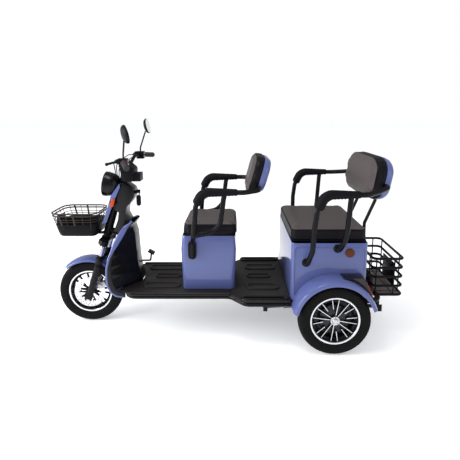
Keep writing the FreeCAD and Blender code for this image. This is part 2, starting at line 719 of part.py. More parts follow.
def leaf_springs():
    """Three leaves a side lie on the axle; the longest has an eye at each end."""
    thick = float(size["leaf_thick"])
    half = float(size["spring_width"]) / 2
    y = float(size["spring_y"])
    axle_x = float(size["rear_axle_x"])
    gap = float(size["rest_clear"])
    seat = float(size["wheel_radius"]) + float(size["axle_tube_radius"]) + gap
    eye_radius = 9
    under_tube = float(size["frame_height"]) - float(size["frame_tube_radius"])
    eye_z = under_tube - float(size["hanger_drop"])
    droop = seat + 3 * thick - eye_radius - eye_z
    ends = (float(size["spring_rear_x"]), float(size["spring_front_x"]))
    leaves = []
    for index, share in enumerate((0.45, 0.72, 1)):
        low = seat + index * thick
        spots = [vec(axle_x + (end - axle_x) * part, y - half, low - droop * part ** 2)
                 for end, part in ((ends[0], share), (axle_x, 0), (ends[1], share))]
        under = Part.Arc(*spots).toShape()
        over = Part.Arc(*[spot + Vector(0, 0, thick) for spot in spots]).toShape()
        tips = [Part.LineSegment(spot, spot + Vector(0, 0, thick)).toShape() for spot in spots[::2]]
        side = Part.Face(Part.Wire([under, tips[1], over, tips[0]]))
        leaves.append(side.extrude(Vector(0, 2 * half, 0)))
    leaves = [leaves[0], leaves[1].cut(leaves[0]), leaves[2].cut(leaves[1])]
    hangers = []
    for end in ends:
        eye = rod((end, y - half, eye_z), (end, y + half, eye_z), eye_radius)
        bolt = rod((end, y - half - 6, eye_z), (end, y + half + 6, eye_z), 5)
        leaves[2] = leaves[2].fuse(eye).cut(bolt)
        cheeks = [Part.makeBox(24, 4, under_tube - eye_z + 14, Vector(end - 12, edge, eye_z - 12))
                  for edge in (y - half - 4 - gap, y + half + gap)]
        hangers.append(join(cheeks + [bolt]))
    free_shape("leaf_springs", both_sides(Part.makeCompound(leaves)))
    rail = rod((ends[0] - 60, y, under_tube + float(size["frame_tube_radius"])),
               (axle_x, y, under_tube + float(size["frame_tube_radius"])), size["frame_tube_radius"])
    tie = rod((ends[1] + 5, -400, under_tube + float(size["frame_tube_radius"])),
              (ends[1] + 5, 400, under_tube + float(size["frame_tube_radius"])), size["frame_tube_radius"] - 2)
    hangers = [hanger.cut([rail, tie]) for hanger in hangers]
    top = seat + 3 * thick
    reach = float(size["wheel_radius"]) * 2 - seat
    plates = [Part.makeBox(64, 2 * half + 14, 4, Vector(axle_x - 32, y - half - 7, low))
              for low in (top + gap, reach - 4)]
    bolts = [tube([(axle_x + along, y + across, reach - 10), (axle_x + along, y + across, top + gap + 4)], 4, sides=8)
             for along in (-29, 29) for across in (-half - 4.5, half + 4.5)]
    free_shape("spring_mounts", both_sides(Part.makeCompound(hangers + [join(plates + bolts)])))


def boxes():
    """The front seat box, the rear body and the battery pack."""
    bottom = size["floor_top"] + size["rest_clear"]
    hollow_box("front_seat_box", size["box_front_x"], size["box_rear_x"], size["box_bulge"], size["box_half"],
               bottom)
    hollow_box("rear_body", size["body_front_x"], size["body_rear_x"], size["body_swell"], size["body_half"],
               size["frame_height"] + size["frame_tube_radius"] + size["rest_clear"])
    block = doc.addObject("Part::Box", "Battery")
    bind(block, "Length", size["battery_length"])
    bind(block, "Width", size["battery_width"])
    bind(block, "Height", size["battery_height"])
    finish(block, "battery_pack")
    place(block, size["box_rear_x"] + 30, -size["battery_width"] / 2,
          bottom + size["box_wall"] + size["rest_clear"])


def seats():
    """Cushions on their hinged bases, and the backrests."""
    low, high = size["cushion_low"], size["cushion_high"]
    for name, front, rear, half in (
            ("front", size["front_cushion_front"], size["front_cushion_rear"], size["front_cushion_half"]),
            ("rear", size["rear_cushion_front"], size["rear_cushion_rear"], size["rear_cushion_half"])):
        body = new_body(f"{name}_seat_cushion")
        corners = ((rear, low), (front, low), (front, high - 6), (front - 40, high), (rear + 40, high),
                   (rear, high - 6))
        pad(body, outline(body, "XZ_Plane", corners), half * 2, symmetric=True)
        round_edges(body, Measure(22, "22"), upright)
        base = new_body(f"{name}_seat_pan")
        plate = ((rear + 12, 12 - half), (front - 12, 12 - half), (front - 12, half - 12), (rear + 12, half - 12))
        pad(base, outline(base, "XY_Plane", plate, size["box_top"] + size["rest_clear"]),
            low - size["box_top"] - size["rest_clear"] * 2)
    gap = float(size["rest_clear"])
    rests = (
        # name, half width, front of the cushion, where it meets the shell, back of the shell
        ("front", size["front_rest_half"], ((-128, 874), (-192, 1113)), ((-243, 1098), (-180, 882)),
         ((-258, 1085), (-266, 1032), (-198, 864), (-178, 862))),
        ("rear", size["rear_rest_half"], ((-823, 858), (-868, 1119)), ((-925, 1108), (-879, 848)),
         ((-940, 1096), (-953, 1050), (-902, 846), (-884, 838))),
    )
    for name, half, front_side, meeting, back_side in rests:
        body = new_body(f"{name}_backrest_pad")
        pad(body, outline(body, "XZ_Plane", front_side + meeting), half * 2 - 16, symmetric=True)
        round_edges(body, size["rest_round"], lengthwise)
        body = new_body(f"{name}_backrest_shell")
        against = tuple((x - gap, z) for x, z in reversed(meeting))
        pad(body, outline(body, "XZ_Plane", against + back_side), half * 2, symmetric=True)


def rear_fenders():
    for side, word in ((1, "left"), (-1, "right")):
        body = new_body(f"rear_fender_{word}")
        top = size["rear_fender_radius"]
        wall = size["fender_wall"]
        near = size["body_half"] + size["rest_clear"]
        out = size["rear_fender_out"]
        corners = ((near, top), (out - 22, top), (out - 5, top - 7), (out, top - 27), (out - wall, top - 27),
                   (out - 5 - wall, top - 7 - wall), (out - 22, top - wall), (near, top - wall))
        if side < 0:
            corners = tuple((-across, up) for across, up in corners)
        revolve(body, outline(body, "YZ_Plane", corners), Measure(150, "150"))
        place(body, size["rear_axle_x"], 0, size["wheel_radius"], Vector(0, 1, 0), -72)


def armrests():
    """Bent tubes that start on the box and end on the backrest, with padded sleeves."""
    radius = size["arm_tube_radius"]
    skin = size["arm_pad_radius"]
    gap = float(size["rest_clear"])
    sets = (
        ("front", float(size["front_arm_y"]), float(size["box_half"]), float(size["front_rest_half"])),
        ("rear", float(size["rear_arm_y"]), float(size["body_half"]), float(size["rear_rest_half"])),
    )
    arm_bend = 52
    pads = []
    rests = []
    for name, y, wall, rest in sets:
        if name == "front":
            main = [(190, wall + 26, 500), (188, wall + 26, 590), (172, y, 665), (158, y, 835), (116, y, 915),
                    (-120, y, 915), (-204, rest + 34, 918), (-204, rest + gap, 918)]
            strut = [(-10, y, 915), (-2, y, 880), (16, y, 731), (64, y, 680), (172, y, 660)]
            bracket = [Part.makeBox(50, 12, 116, Vector(165, wall + 12, 490)),
                       Part.makeBox(26, 12 - gap, 26, Vector(177, wall + gap, 535))]
            bends = (4, 6)
        else:
            main = [(-474, wall + gap, 516), (-474, wall + 34, 516), (-494, y - 16, 610), (-497, y, 748),
                    (-508, y, 840), (-552, y, 930), (-775, y, 930), (-850, y - 40, 940), (-918, rest + 34, 952),
                    (-918, rest + gap, 952)]
            strut = [(-690, y, 930), (-685, y, 890), (-677, y, 748), (-668, y - 14, 668), (-652, wall + 34, 600),
                     (-652, wall + gap, 600)]
            bracket = []
            bends = (5, 7)
        frame_tube = tube(main, radius, bend=arm_bend)
        whole = join([frame_tube, tube(strut, radius, bend=50)] + bracket)
        rests.append(both_sides(whole))
        first, last = bends[0] - 1, bends[0] + 1
        low, corner, high = (Vector(*main[index]) for index in (first, bends[0], last))
        begin = low + (corner - low) * 0.12
        end = corner + (high - corner) * 0.86
        sleeve = tube([tuple(begin), tuple(corner), tuple(end)], skin, bend=arm_bend)
        clear = [tube(main, float(radius) + gap, bend=arm_bend), tube(strut, float(radius) + gap, bend=50)]
        pads.append(both_sides(sleeve.cut(clear)))
    free_shape("armrests", Part.makeCompound(rests))
    free_shape("armrest_pads", Part.makeCompound(pads))


SHIELD_ROWS = (
    # height, half width, edge behind the front axle, middle behind the front axle
    (262, 216, 235, 244),
    (300, 223, 194, 240),
    (370, 225, 167, 237),
    (430, 220, 169, 235),
    (500, 208, 181, 240),
    (560, 190, 206, 252),
    (605, 168, 222, 262),
    (650, 138, 245, 270),
    (687, 80, 306, 268),
)
TUNNEL_BACK = (532, 532, 549, 557, 561, 564, 567, 580, 600)


def shield_edges(row, off):
    """The leg shield's front curve at one row, moved back by some distance."""
    height, half, edge_back, middle_back = row
    axle = float(size["front_axle_x"])
    quarter_back = (edge_back * 2 + middle_back) / 3
    spots = ((edge_back, -1), (quarter_back, -0.75), (middle_back, 0), (quarter_back, 0.75), (edge_back, 1))
    return [Vector(axle - back - off, share * half, height) for back, share in spots]


def shield_loft(front_off, back_off, back_x=None):
    """Lofts the leg shield between two offsets, or back to a plane."""
    sections = []
    for row in SHIELD_ROWS:
        points = shield_edges(row, front_off)
        face = Part.BSplineCurve()
        face.interpolate(points)
        if back_x is None:
            behind = shield_edges(row, back_off)
            back = Part.BSplineCurve()
            back.interpolate(behind[::-1])
            back_edges = [back.toShape()]
        else:
            behind = [Vector(back_x, point.y, point.z) for point in points]
            back_edges = [Part.LineSegment(behind[-1], behind[0]).toShape()]
        edges = [face.toShape(), Part.LineSegment(points[-1], behind[-1]).toShape()] + back_edges
        edges.append(Part.LineSegment(behind[0], points[0]).toShape())
        sections.append(Part.Wire(edges))
    return Part.makeLoft(sections, True, True)


def liner_loft(wall, level):
    """The space ahead of the liner's rear face: a raised tunnel between two slanting wings."""
    sections = []
    axle = float(size["front_axle_x"])
    tunnel = float(size["tunnel_half"]) - wall
    for (height, half, edge_back, _), tunnel_x in zip(SHIELD_ROWS, TUNNEL_BACK):
        side = half - 2 - wall
        edge = axle - edge_back - float(size["liner_round"]) + wall
        rear = min(tunnel_x, edge) + wall
        ahead_x = axle - 40
        corners = [(ahead_x, -side), (edge, -side), (rear, -tunnel), (rear, tunnel), (edge, side), (ahead_x, side)]
        points = [Vector(x, y, max(height, level)) for x, y in corners]
        sections.append(Part.makePolygon(points + points[:1]))
    return Part.makeLoft(sections[1:], True, True)


def leg_shield():
    """A bowed outer skin that narrows upwards, and a black liner with a tunnel behind it."""
    level = float(size["floor_top"]) + float(size["rest_clear"])
    skin = float(size["shield_skin"])
    down_tube_way = Part.makeBox(260, 60, 170, Vector(500, -30, 480))
    shell = shield_loft(0, skin)
    free_shape("leg_shield_outer", shell.cut(down_tube_way))
    lower = Part.makeBox(500, 600, 400, Vector(400, -300, level))
    liner = liner_loft(0, level).cut(liner_loft(3, level))
    behind = shield_loft(skin + float(size["rest_clear"]), 0, 400)
    free_shape("leg_shield_inner", liner.common(behind).common(lower))
    return shield_loft(-float(size["rest_clear"]), 0, 400)


COLUMN_OUTLINE = (
    # distance ahead of the steering axis, height
    (-23, 934), (-16, 911), (-11, 867), (-4, 795), (-20, 757), (-47, 742), (-55, 693), (-49, 621),
    (-116, 600), (-184, 611), (-164, 645), (-125, 692), (-96, 726), (-88, 750), (-87, 779),
    (-102, 799), (-113, 832), (-110, 866), (-91, 895),
)


def column(shield_space):
    """The moulded cover round the steering head, and the narrow cowl in front of it."""
    half = float(size["column_half"])
    outer = ahead(COLUMN_OUTLINE)
    cover = prism(outer, -half, half).cut(prism(inset(outer, 3), 3 - half, half - 3))
    seat = Placement(vec(size["front_axle_x"], 0, size["wheel_radius"]),
                     Rotation(Vector(0, 1, 0), -float(size["rake"])))
    bore = Part.makeCylinder(float(size["head_tube_radius"]) + 4.3, 207, Vector(0, 0, 390))
    shaft = Part.makeCylinder(float(size["stem_radius"]) + 5, 300, Vector(0, 0, 590))
    bore.Placement = seat
    shaft.Placement = seat
    bore = bore.fuse(shaft)
    cover = cover.cut([bore, shield_space])
    down_tube_way = Part.makeBox(200, 46, 80, Vector(560, -23, 560))
    free_shape("column_cover", cover.cut(down_tube_way))
    cowl_half = float(size["cowl_half"])
    skin = ahead([(-3, 925), (28, 850), (29, 760), (35, 672), (31, 671), (25, 759), (24, 849), (-8, 923)])
    cowl = prism(skin, -cowl_half, cowl_half)
    flank = ahead([(-6, 924), (26, 850), (27, 760), (33, 671), (10, 680), (4, 760), (-3, 830), (-14, 905)])
    sides = [prism(flank, low, high) for low, high in ((cowl_half - 3, cowl_half), (-cowl_half, 3 - cowl_half))]
    free_shape("front_cowl", join([cowl] + sides).cut([bore, prism(outer, -half - 0.3, half + 0.3)]))


def headlamp():
    """A round lamp whose case is cut off to follow the cowl behind it."""
    radius = float(size["headlamp_radius"])
    can = Part.makeCylinder(radius, 100, Vector(-100, 0, 0), Vector(1, 0, 0))
    can = can.makeFillet(26, [can.Edges[0] if can.Edges[0].BoundBox.XMax < -50 else can.Edges[2]])
    hollow = Part.makeCylinder(radius - 4, 90, Vector(-90, 0, 0), Vector(1, 0, 0))
    glass = Part.makeCylinder(radius - 4.3, 8, Vector(-12, 0, 0), Vector(1, 0, 0))
    dome = Part.makeSphere(180, Vector(-166, 0, 0)).common(
        Part.makeCylinder(radius - 4.3, 40, Vector(-4.01, 0, 0), Vector(1, 0, 0)))
    lens = join([glass, dome])
    spot = Placement(Vector(757, 0, 918), Rotation(Vector(0, 1, 0), -8))
    for shape in (can, hollow, lens):
        shape.Placement = spot
    outside = prism([(650, 1010), (697, 1010), (666, 940), (742, 838), (650, 820), (560, 900)], -100, 100)
    inside = prism([(650, 1010), (701, 1010), (670, 940), (746, 838), (742, 800), (560, 800)], -100, 100)
    case = can.cut(outside).cut(hollow.cut(inside))
    stub = rod((712, 0, 870), (690, 0, 866), 13)
    behind = prism([(650.4, 925), (705.4, 850), (735.4, 760), (600, 760), (600, 925)], -80, 80)
    free_shape("headlamp_shell", join([case, stub.cut(behind)]))
    free_shape("headlamp_lens", lens)


def basket(node, top, floor, columns, rows, closed_rows):
    """Four walls and a floor of crossed wires; top and floor give front, rear and half width."""
    thick = float(size["wire_thick"])
    gap = float(size["rest_clear"])
    high, low = top[3], floor[3]
    walls = []
    for side in (1, -1):
        far = [(floor[0], side * floor[2], low), (floor[1], side * floor[2], low),
               (top[1], side * top[2], high), (top[0], side * top[2], high)]
        if side < 0:
            far = [far[1], far[0], far[3], far[2]]
        walls.append(grille(far, columns[0], rows, closed_rows))
    inner_low, inner_high = floor[2] - thick - gap, top[2] - thick - gap
    front = [(floor[0], -inner_low, low), (floor[0], inner_low, low), (top[0], inner_high, high),
             (top[0], -inner_high, high)]
    rear = [(floor[1], inner_low, low), (floor[1], -inner_low, low), (top[1], -inner_high, high),
            (top[1], inner_high, high)]
    walls += [grille(front, columns[1], rows, closed_rows), grille(rear, columns[1], rows, closed_rows)]
    slack = 1.2 * thick + gap
    reach = inner_low - gap
    base = [(floor[1] + slack, reach, low), (floor[0] - slack, reach, low), (floor[0] - slack, -reach, low),
            (floor[1] + slack, -reach, low)]
    walls.append(grille(base, columns[0], columns[1]))
    return walls


def baskets():
    rim, floor = float(size["rear_basket_rim"]), float(size["rear_basket_floor"])
    front, rear, half = (float(size[f"rear_basket_{word}"]) for word in ("front", "rear", "half"))
    walls = basket("rear_basket", (front, rear, half, rim), (front, rear, half, floor), (3, 6), 4, 0)
    free_shape("rear_basket", Part.makeCompound(walls))
    rim, floor = float(size["front_basket_rim"]), float(size["front_basket_floor"])
    front, rear, half = (float(size[f"front_basket_{word}"]) for word in ("front", "rear", "half"))
    depth = rim - floor
    walls = basket("front_basket", (front, rear, half, rim),
                   (front - depth * 0.42, rear + depth * 0.14, half - depth * 0.14, floor), (6, 5), 4, 1)
    free_shape("front_basket", Part.makeCompound(walls))


def hollow_box(node, walls_front, walls_rear, waist_swell, half, bottom):
    """A moulded box, open above, with rounded upright corners and a swell at its waist."""
    top = size["box_top"]
    wall = size["box_wall"]
    waist = top - 90
    body = new_body(node)
    outer = ((walls_rear, bottom), (walls_front, bottom), (walls_front + waist_swell, waist), (walls_front, top),
             (walls_rear, top), (walls_rear - waist_swell, waist))
    pad(body, outline(body, "XZ_Plane", outer), half * 2, symmetric=True)
    inner = ((walls_rear + wall, bottom + wall), (walls_front - wall, bottom + wall),
             (walls_front + waist_swell - wall, waist), (walls_front - wall, top + 1), (walls_rear + wall, top + 1),
             (walls_rear + wall - waist_swell, waist))
    pocket(body, outline(body, "XZ_Plane", inner), (half - wall) * 2, symmetric=True)
    split = float(half) - float(wall) / 2
    round_edges(body, size["corner_round"] - wall, lambda low, high: upright(low, high) and abs(low.y) < split)
    round_edges(body, size["corner_round"], lambda low, high: upright(low, high) and abs(low.y) > split)
    return body


def rear_stays():
    """Two tubes from the rear wall of the body up behind the backrest."""
    y = float(size["stay_y"])
    radius = float(size["stay_radius"])
    wall_x = float(size["body_rear_x"]) - float(size["body_swell"]) - float(size["rest_clear"])
    shell_low = Vector(-902, 0, 846)
    shell_high = Vector(-925, 0, 938)
    slope = (shell_high - shell_low).normalize()
    out = Vector(-slope.z, 0, slope.x) * (radius + float(size["rest_clear"]))
    first = shell_low + out - slope * 6
    last = shell_high + out
    points = [(wall_x, y, 506), (wall_x - 26, y, 506), (wall_x - 26, y, 700), (first.x, y, first.z),
              (last.x, y, last.z)]
    free_shape("rear_stays", both_sides(tube(points, radius, bend=24)))


def lamps():
    """Turn lamps on the cowl, smoked tail lamps on the mudguards, round side reflectors."""
    gap = float(size["rest_clear"])
    side = float(size["cowl_half"]) + gap
    lens = prism([(676, 833), (698, 833), (714, 783), (690, 783)], side, side + 12)
    free_shape("turn_lamps", both_sides(lens))
    wall = float(size["body_half"]) + gap
    axle = vec(size["rear_axle_x"], 0, size["wheel_radius"])
    wedge = prism([(-676, 452), (-790, 452), (-846, 335), (-790, 330), (-676, 430)], wall,
                  size["tail_lamp_out"])
    hump = Part.makeCylinder(float(size["rear_fender_radius"]) + gap, 1000, axle, Vector(0, 1, 0))
    free_shape("tail_lamps", both_sides(wedge.cut(hump)))
    disc = rod((-722, wall, 574), (-722, wall + 7, 574), size["reflector_radius"])
    free_shape("side_reflectors", both_sides(disc))


def controls():
    """The brake pedal on the right of the footwell, and the key in its lock."""
    arm = tube([(640, -90, 372), (506, -90, 372), (498, -90, 432)], 6, bend=10)
    plate = prism([(519, 440), (480, 418), (476, 424), (515, 447)], -118, -62)
    liner = liner_loft(-0.3, 290)
    free_shape("brake_pedal", join([arm.cut(liner), plate]))
    lock_x = axis_x(866) - 109
    barrel = rod((lock_x + 4, 20, 866), (lock_x - 18, 20, 872), 11)
    key = Part.makeBox(14, 4, 22, Vector(lock_x - 32, 18, 861))
    fob = Part.makeCylinder(14, 9, Vector(lock_x - 20, 15.5, 792), Vector(0, 1, 0))
    fob = join([fob, Part.makeBox(28, 9, 42, Vector(lock_x - 34, 15.5, 792)),
                Part.makeCylinder(14, 9, Vector(lock_x - 20, 15.5, 834), Vector(0, 1, 0))])
    strap = Part.makeBox(6, 3, 24, Vector(lock_x - 28, 18.5, 842))
    cover = prism(ahead(COLUMN_OUTLINE), 0, 40)
    free_shape("ignition_key", join([barrel, key, fob, strap]).cut(cover))


def grille(corners, columns, rows, closed_rows=0):
    """A flat panel of crossed wires between four corners, given round its edge from the lower left."""
    low_left, low_right, high_right, high_left = (vec(*corner) for corner in corners)
    thick = float(size["wire_thick"])
    width = (low_right - low_left).Length
    height = (high_left - low_left).Length

    def at(u, v):
        low = low_left + (low_right - low_left) * u
        high = high_left + (high_right - high_left) * u
        return low + (high - low) * v

    def loop(points):
        return Part.makePolygon(points + points[:1])

    edge = [at(0, 0), at(1, 0), at(1, 1), at(0, 1)]
    panel = Part.Face(loop(edge))
    bar_u, bar_v = thick / width, thick / height
    step_u, step_v = (1 - bar_u) / columns, (1 - bar_v) / rows
    holes = []
    for row in range(closed_rows, rows):
        for column in range(columns):
            left, right = bar_u + column * step_u, (column + 1) * step_u
            low, high = bar_v + row * step_v, (row + 1) * step_v
            holes.append(loop([at(left, low), at(left, high), at(right, high), at(right, low)]))
    normal = (low_right - low_left).cross(high_left - low_left).normalize()
    panel = Part.Face([loop(edge)] + holes)
    panel.validate()
    return panel.extrude(normal * -thick)


def check_and_export():
    """Stops on anything that did not build, then writes one file a sub-part."""
    doc.recompute()
    for item in doc.Objects:
        if any(word in ("Invalid", "Error") for word in item.State):
            raise ValueError(f"{item.Name} of {item.Label} did not build: {item.State}")
    for item in finished:
        if item.Shape.isNull() or not item.Shape.isValid():
            raise ValueError(f"{item.Label} has no valid shape")
    os.makedirs("parts", exist_ok=True)
    for item in finished:
        item.Shape.exportStep(f"parts/{item.Label}.step")
        print(item.Label, len(item.Shape.Solids), round(item.Shape.Volume / 1000), "cm3")


wheels()
brake_disc()
fork()
front_fender()
handlebar()
mirrors()
caliper()
frame()
floors()
running_gear()
leaf_springs()
boxes()
seats()
rear_fenders()
armrests()
rear_stays()
column(leg_shield())
headlamp()
lamps()
controls()
baskets()
check_and_export()
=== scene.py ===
"""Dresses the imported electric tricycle: finishes, tubes, wheels, cushions, baskets, lamps and the stage."""

import math

import bmesh
import bpy
from mathutils import Matrix, Vector


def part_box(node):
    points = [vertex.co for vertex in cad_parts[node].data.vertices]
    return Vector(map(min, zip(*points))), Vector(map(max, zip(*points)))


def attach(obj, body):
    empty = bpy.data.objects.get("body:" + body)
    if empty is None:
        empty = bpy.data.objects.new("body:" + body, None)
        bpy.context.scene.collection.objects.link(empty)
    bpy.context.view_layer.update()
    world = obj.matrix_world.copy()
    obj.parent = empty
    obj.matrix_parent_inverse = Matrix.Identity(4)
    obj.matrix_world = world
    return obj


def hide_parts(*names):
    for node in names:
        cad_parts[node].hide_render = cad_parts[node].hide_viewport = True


bl_info = {
    "name": "Electric tricycle",
    "version": (1, 0, 0),
    "blender": (4, 5, 0),
    "location": "3D View > Sidebar > Tricycle",
    "description": "Builds the visible model of the tricycle round its packed frame",
    "category": "Object",
}

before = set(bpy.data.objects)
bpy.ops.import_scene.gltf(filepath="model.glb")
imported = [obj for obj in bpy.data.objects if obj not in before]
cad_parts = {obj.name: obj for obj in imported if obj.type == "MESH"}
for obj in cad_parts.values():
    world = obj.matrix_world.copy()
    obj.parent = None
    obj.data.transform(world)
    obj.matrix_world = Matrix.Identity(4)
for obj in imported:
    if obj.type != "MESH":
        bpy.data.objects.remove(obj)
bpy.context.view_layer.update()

MM = 0.001
SHARP = math.radians(32)
SIDES = (1, -1)
UPRIGHT = Matrix.Rotation(math.pi / 2, 3, "X")


# Places, all in millimetres and read from the frame

def node_low(node):
    """The lowest corner of a node, in millimetres."""
    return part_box(node)[0] / MM


def node_high(node):
    """The highest corner of a node, in millimetres."""
    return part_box(node)[1] / MM


def node_middle(node):
    return (node_low(node) + node_high(node)) / 2


# Mesh helpers

def link(name, mesh):
    """An object at the origin that shows a mesh."""
    item = bpy.data.objects.new(name, mesh)
    bpy.context.scene.collection.objects.link(item)
    return item


def shade(mesh, angle=SHARP):
    """Smooth shading that keeps true corners."""
    mesh.polygons.foreach_set("use_smooth", [True] * len(mesh.polygons))
    mesh.set_sharp_from_angle(angle=angle)


def add_bevel(item, width, segments=2, angle=SHARP):
    """A small round on every real corner."""
    bevel = item.modifiers.new("Soft edges", "BEVEL")
    bevel.width = width * MM
    bevel.segments = segments
    bevel.limit_method = "ANGLE"
    bevel.angle_limit = angle


def bake_modifiers(item):
    """Puts the modifiers' result into the mesh itself."""
    graph = bpy.context.evaluated_depsgraph_get()
    mesh = bpy.data.meshes.new_from_object(item.evaluated_get(graph))
    item.modifiers.clear()
    item.data = mesh


def settle(item, body, finish, replaced=(), bevel=0.0, angle=SHARP):
    """Gives a finished piece its material, its body and the nodes that it stands for."""
    item.data.materials.clear()
    item.data.materials.append(finish)
    if bevel:
        add_bevel(item, bevel, angle=angle)
        bake_modifiers(item)
        shade(item.data, angle)
    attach(item, body)
    if replaced:
        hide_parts(*replaced)


def from_bmesh(name, bm, angle=SHARP):
    """Turns a bmesh drawn in millimetres into an object in metres."""
    bmesh.ops.remove_doubles(bm, verts=bm.verts, dist=0.002)
    bmesh.ops.recalc_face_normals(bm, faces=bm.faces)
    bmesh.ops.transform(bm, matrix=Matrix.Scale(MM, 4), verts=bm.verts)
    mesh = bpy.data.meshes.new(name)
    bm.to_mesh(mesh)
    bm.free()
    shade(mesh, angle)
    return link(name, mesh)


def copy_of(node, name):
    """A merged copy of a node's mesh, with its flat faces joined up."""
    bm = bmesh.new()
    bm.from_mesh(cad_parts[node].data)
    bmesh.ops.remove_doubles(bm, verts=bm.verts, dist=2e-6)
    bmesh.ops.dissolve_limit(bm, angle_limit=math.radians(0.6), verts=bm.verts, edges=bm.edges)
    mesh = bpy.data.meshes.new(name)
    bm.to_mesh(mesh)
    bm.free()
    shade(mesh)
    return link(name, mesh)


def block(bm, low, high):
    """Adds a box between two corners."""
    low, high = Vector(low), Vector(high)
    made = bmesh.ops.create_cube(bm, size=1)
    form = Matrix.Translation((low + high) / 2) @ Matrix.Diagonal((*(high - low), 1))
    bmesh.ops.transform(bm, matrix=form, verts=made["verts"])
    return made["verts"]


def drum(bm, start, end, radius, end_radius=None, sides=32):
    """Adds a closed cylinder or cone between two points."""
    start, end = Vector(start), Vector(end)
    way = end - start
    tip = radius if end_radius is None else end_radius
    made = bmesh.ops.create_cone(bm, cap_ends=True, segments=sides, radius1=radius, radius2=tip,
                                 depth=way.length)
    form = Matrix.Translation((start + end) / 2) @ way.to_track_quat("Z", "Y").to_matrix().to_4x4()
    bmesh.ops.transform(bm, matrix=form, verts=made["verts"])


def lathe(bm, profile, centre, axis=(0, 1, 0), steps=64):
    """Turns a profile of (distance along the axis, radius) pairs into a ring or a solid."""
    axis = Vector(axis).normalized()
    arm = axis.orthogonal().normalized()
    centre = Vector(centre)
    verts = [bm.verts.new(centre + axis * along + arm * radius) for along, radius in profile]
    pairs = [*zip(verts, verts[1:]), (verts[-1], verts[0])]
    edges = [bm.edges.new(pair) for pair in pairs]
    bmesh.ops.spin(bm, geom=verts + edges, cent=centre, axis=axis, angle=2 * math.pi, steps=steps,
                   use_merge=True, use_normal_flip=False, use_duplicate=False)


def plate(bm, outline, thick, turn, at):
    """Adds a flat outline in local X and Y, thickened along local Z, then turned and moved."""
    verts = [bm.verts.new((x, y, 0)) for x, y in outline]
    face = bm.faces.new(verts)
    made = bmesh.ops.extrude_face_region(bm, geom=[face])
    raised = [item for item in made["geom"] if isinstance(item, bmesh.types.BMVert)]
    bmesh.ops.translate(bm, vec=(0, 0, thick), verts=raised)
    form = Matrix.Translation(at) @ turn.to_4x4()
    bmesh.ops.transform(bm, matrix=form, verts=verts + raised)


def side_prism(bm, profile, low_y, high_y):
    """Adds a side-view profile of (x, z) pairs, as wide as from low_y to high_y."""
    plate(bm, profile, high_y - low_y, UPRIGHT, (0, high_y, 0))


def rounded_corners(half_x, half_y, radius, steps=6, radius_y=None):
    """The outline of a rectangle with round or oval corners, centred on its own middle."""
    radius_y = radius if radius_y is None else radius_y
    outline = []
    for quarter, (sign_x, sign_y) in enumerate(((1, 1), (-1, 1), (-1, -1), (1, -1))):
        for step in range(steps + 1):
            angle = (quarter + step / steps) * math.pi / 2
            outline.append((sign_x * (half_x - radius) + radius * math.cos(angle),
                            sign_y * (half_y - radius_y) + radius_y * math.sin(angle)))
    return outline


def skin_rings(bm, rings):
    """Joins closed rings of points one after the other into a skin with two flat ends."""
    rows = [[bm.verts.new(spot) for spot in ring] for ring in rings]
    loops = [[bm.edges.new((row[k - 1], row[k])) for k in range(len(row))] for row in rows]
    for first, second in zip(loops, loops[1:]):
        bmesh.ops.bridge_loops(bm, edges=first + second)
    bm.faces.new(rows[0])
    bm.faces.new(rows[-1])


def about_axle(angle):
    """The direction at an angle round an axle that runs along Y."""
    return Vector((math.cos(angle), 0, math.sin(angle)))


# Round tubes and wires along bent paths

def add_spline(curve, points, bend, closed):
    """A Bezier spline of straight runs and round bends."""
    points = [Vector(point) * MM for point in points]
    bend = bend * MM
    count = len(points)
    knots = []
    for index, corner in enumerate(points):
        if not closed and index in (0, count - 1):
            knots.append((corner, corner, corner))
            continue
        before, after = points[index - 1], points[(index + 1) % count]
        inward, outward = (before - corner).normalized(), (after - corner).normalized()
        turn = math.pi - inward.angle(outward)
        if turn < math.radians(1):
            knots.append((corner, corner, corner))
            continue
        limit = 0.49 * min((before - corner).length, (after - corner).length)
        reach = min(bend * math.tan(turn / 2), limit)
        pull = 4 / 3 * math.tan(turn / 4) / math.tan(turn / 2)
        for way, leads in ((inward, False), (outward, True)):
            spot = corner + way * reach
            near = spot + (corner - spot) * pull
            far = spot + way * reach * 0.3
            knots.append((spot, near if leads else far, far if leads else near))
    spline = curve.splines.new("BEZIER")
    spline.bezier_points.add(len(knots) - 1)
    for knot, (spot, left, right) in zip(spline.bezier_points, knots):
        knot.co = spot
        knot.handle_left_type = knot.handle_right_type = "FREE"
        knot.handle_left = left
        knot.handle_right = right
    spline.use_cyclic_u = closed
    spline.resolution_u = 5


def tubes(name, paths, radius, sides=3):
    """One mesh of round tubes; each path is (points in millimetres, bend radius, closed)."""
    curve = bpy.data.curves.new(name, "CURVE")
    curve.dimensions = "3D"
    curve.bevel_depth = radius * MM
    curve.bevel_resolution = sides
    curve.use_fill_caps = True
    for points, bend, closed in paths:
        add_spline(curve, points, bend, closed)
    holder = link(name, curve)
    graph = bpy.context.evaluated_depsgraph_get()
    mesh = bpy.data.meshes.new_from_object(holder.evaluated_get(graph))
    bpy.data.objects.remove(holder)
    bm = bmesh.new()
    bm.from_mesh(mesh)
    bmesh.ops.remove_doubles(bm, verts=bm.verts, dist=1e-6)
    bmesh.ops.recalc_face_normals(bm, faces=bm.faces)
    bm.to_mesh(mesh)
    bm.free()
    shade(mesh, math.radians(40))
    return link(name, mesh)


def mirror_y(points):
    """The same points on the other side of the vehicle."""
    return [(x, -y, z) for x, y, z in points]


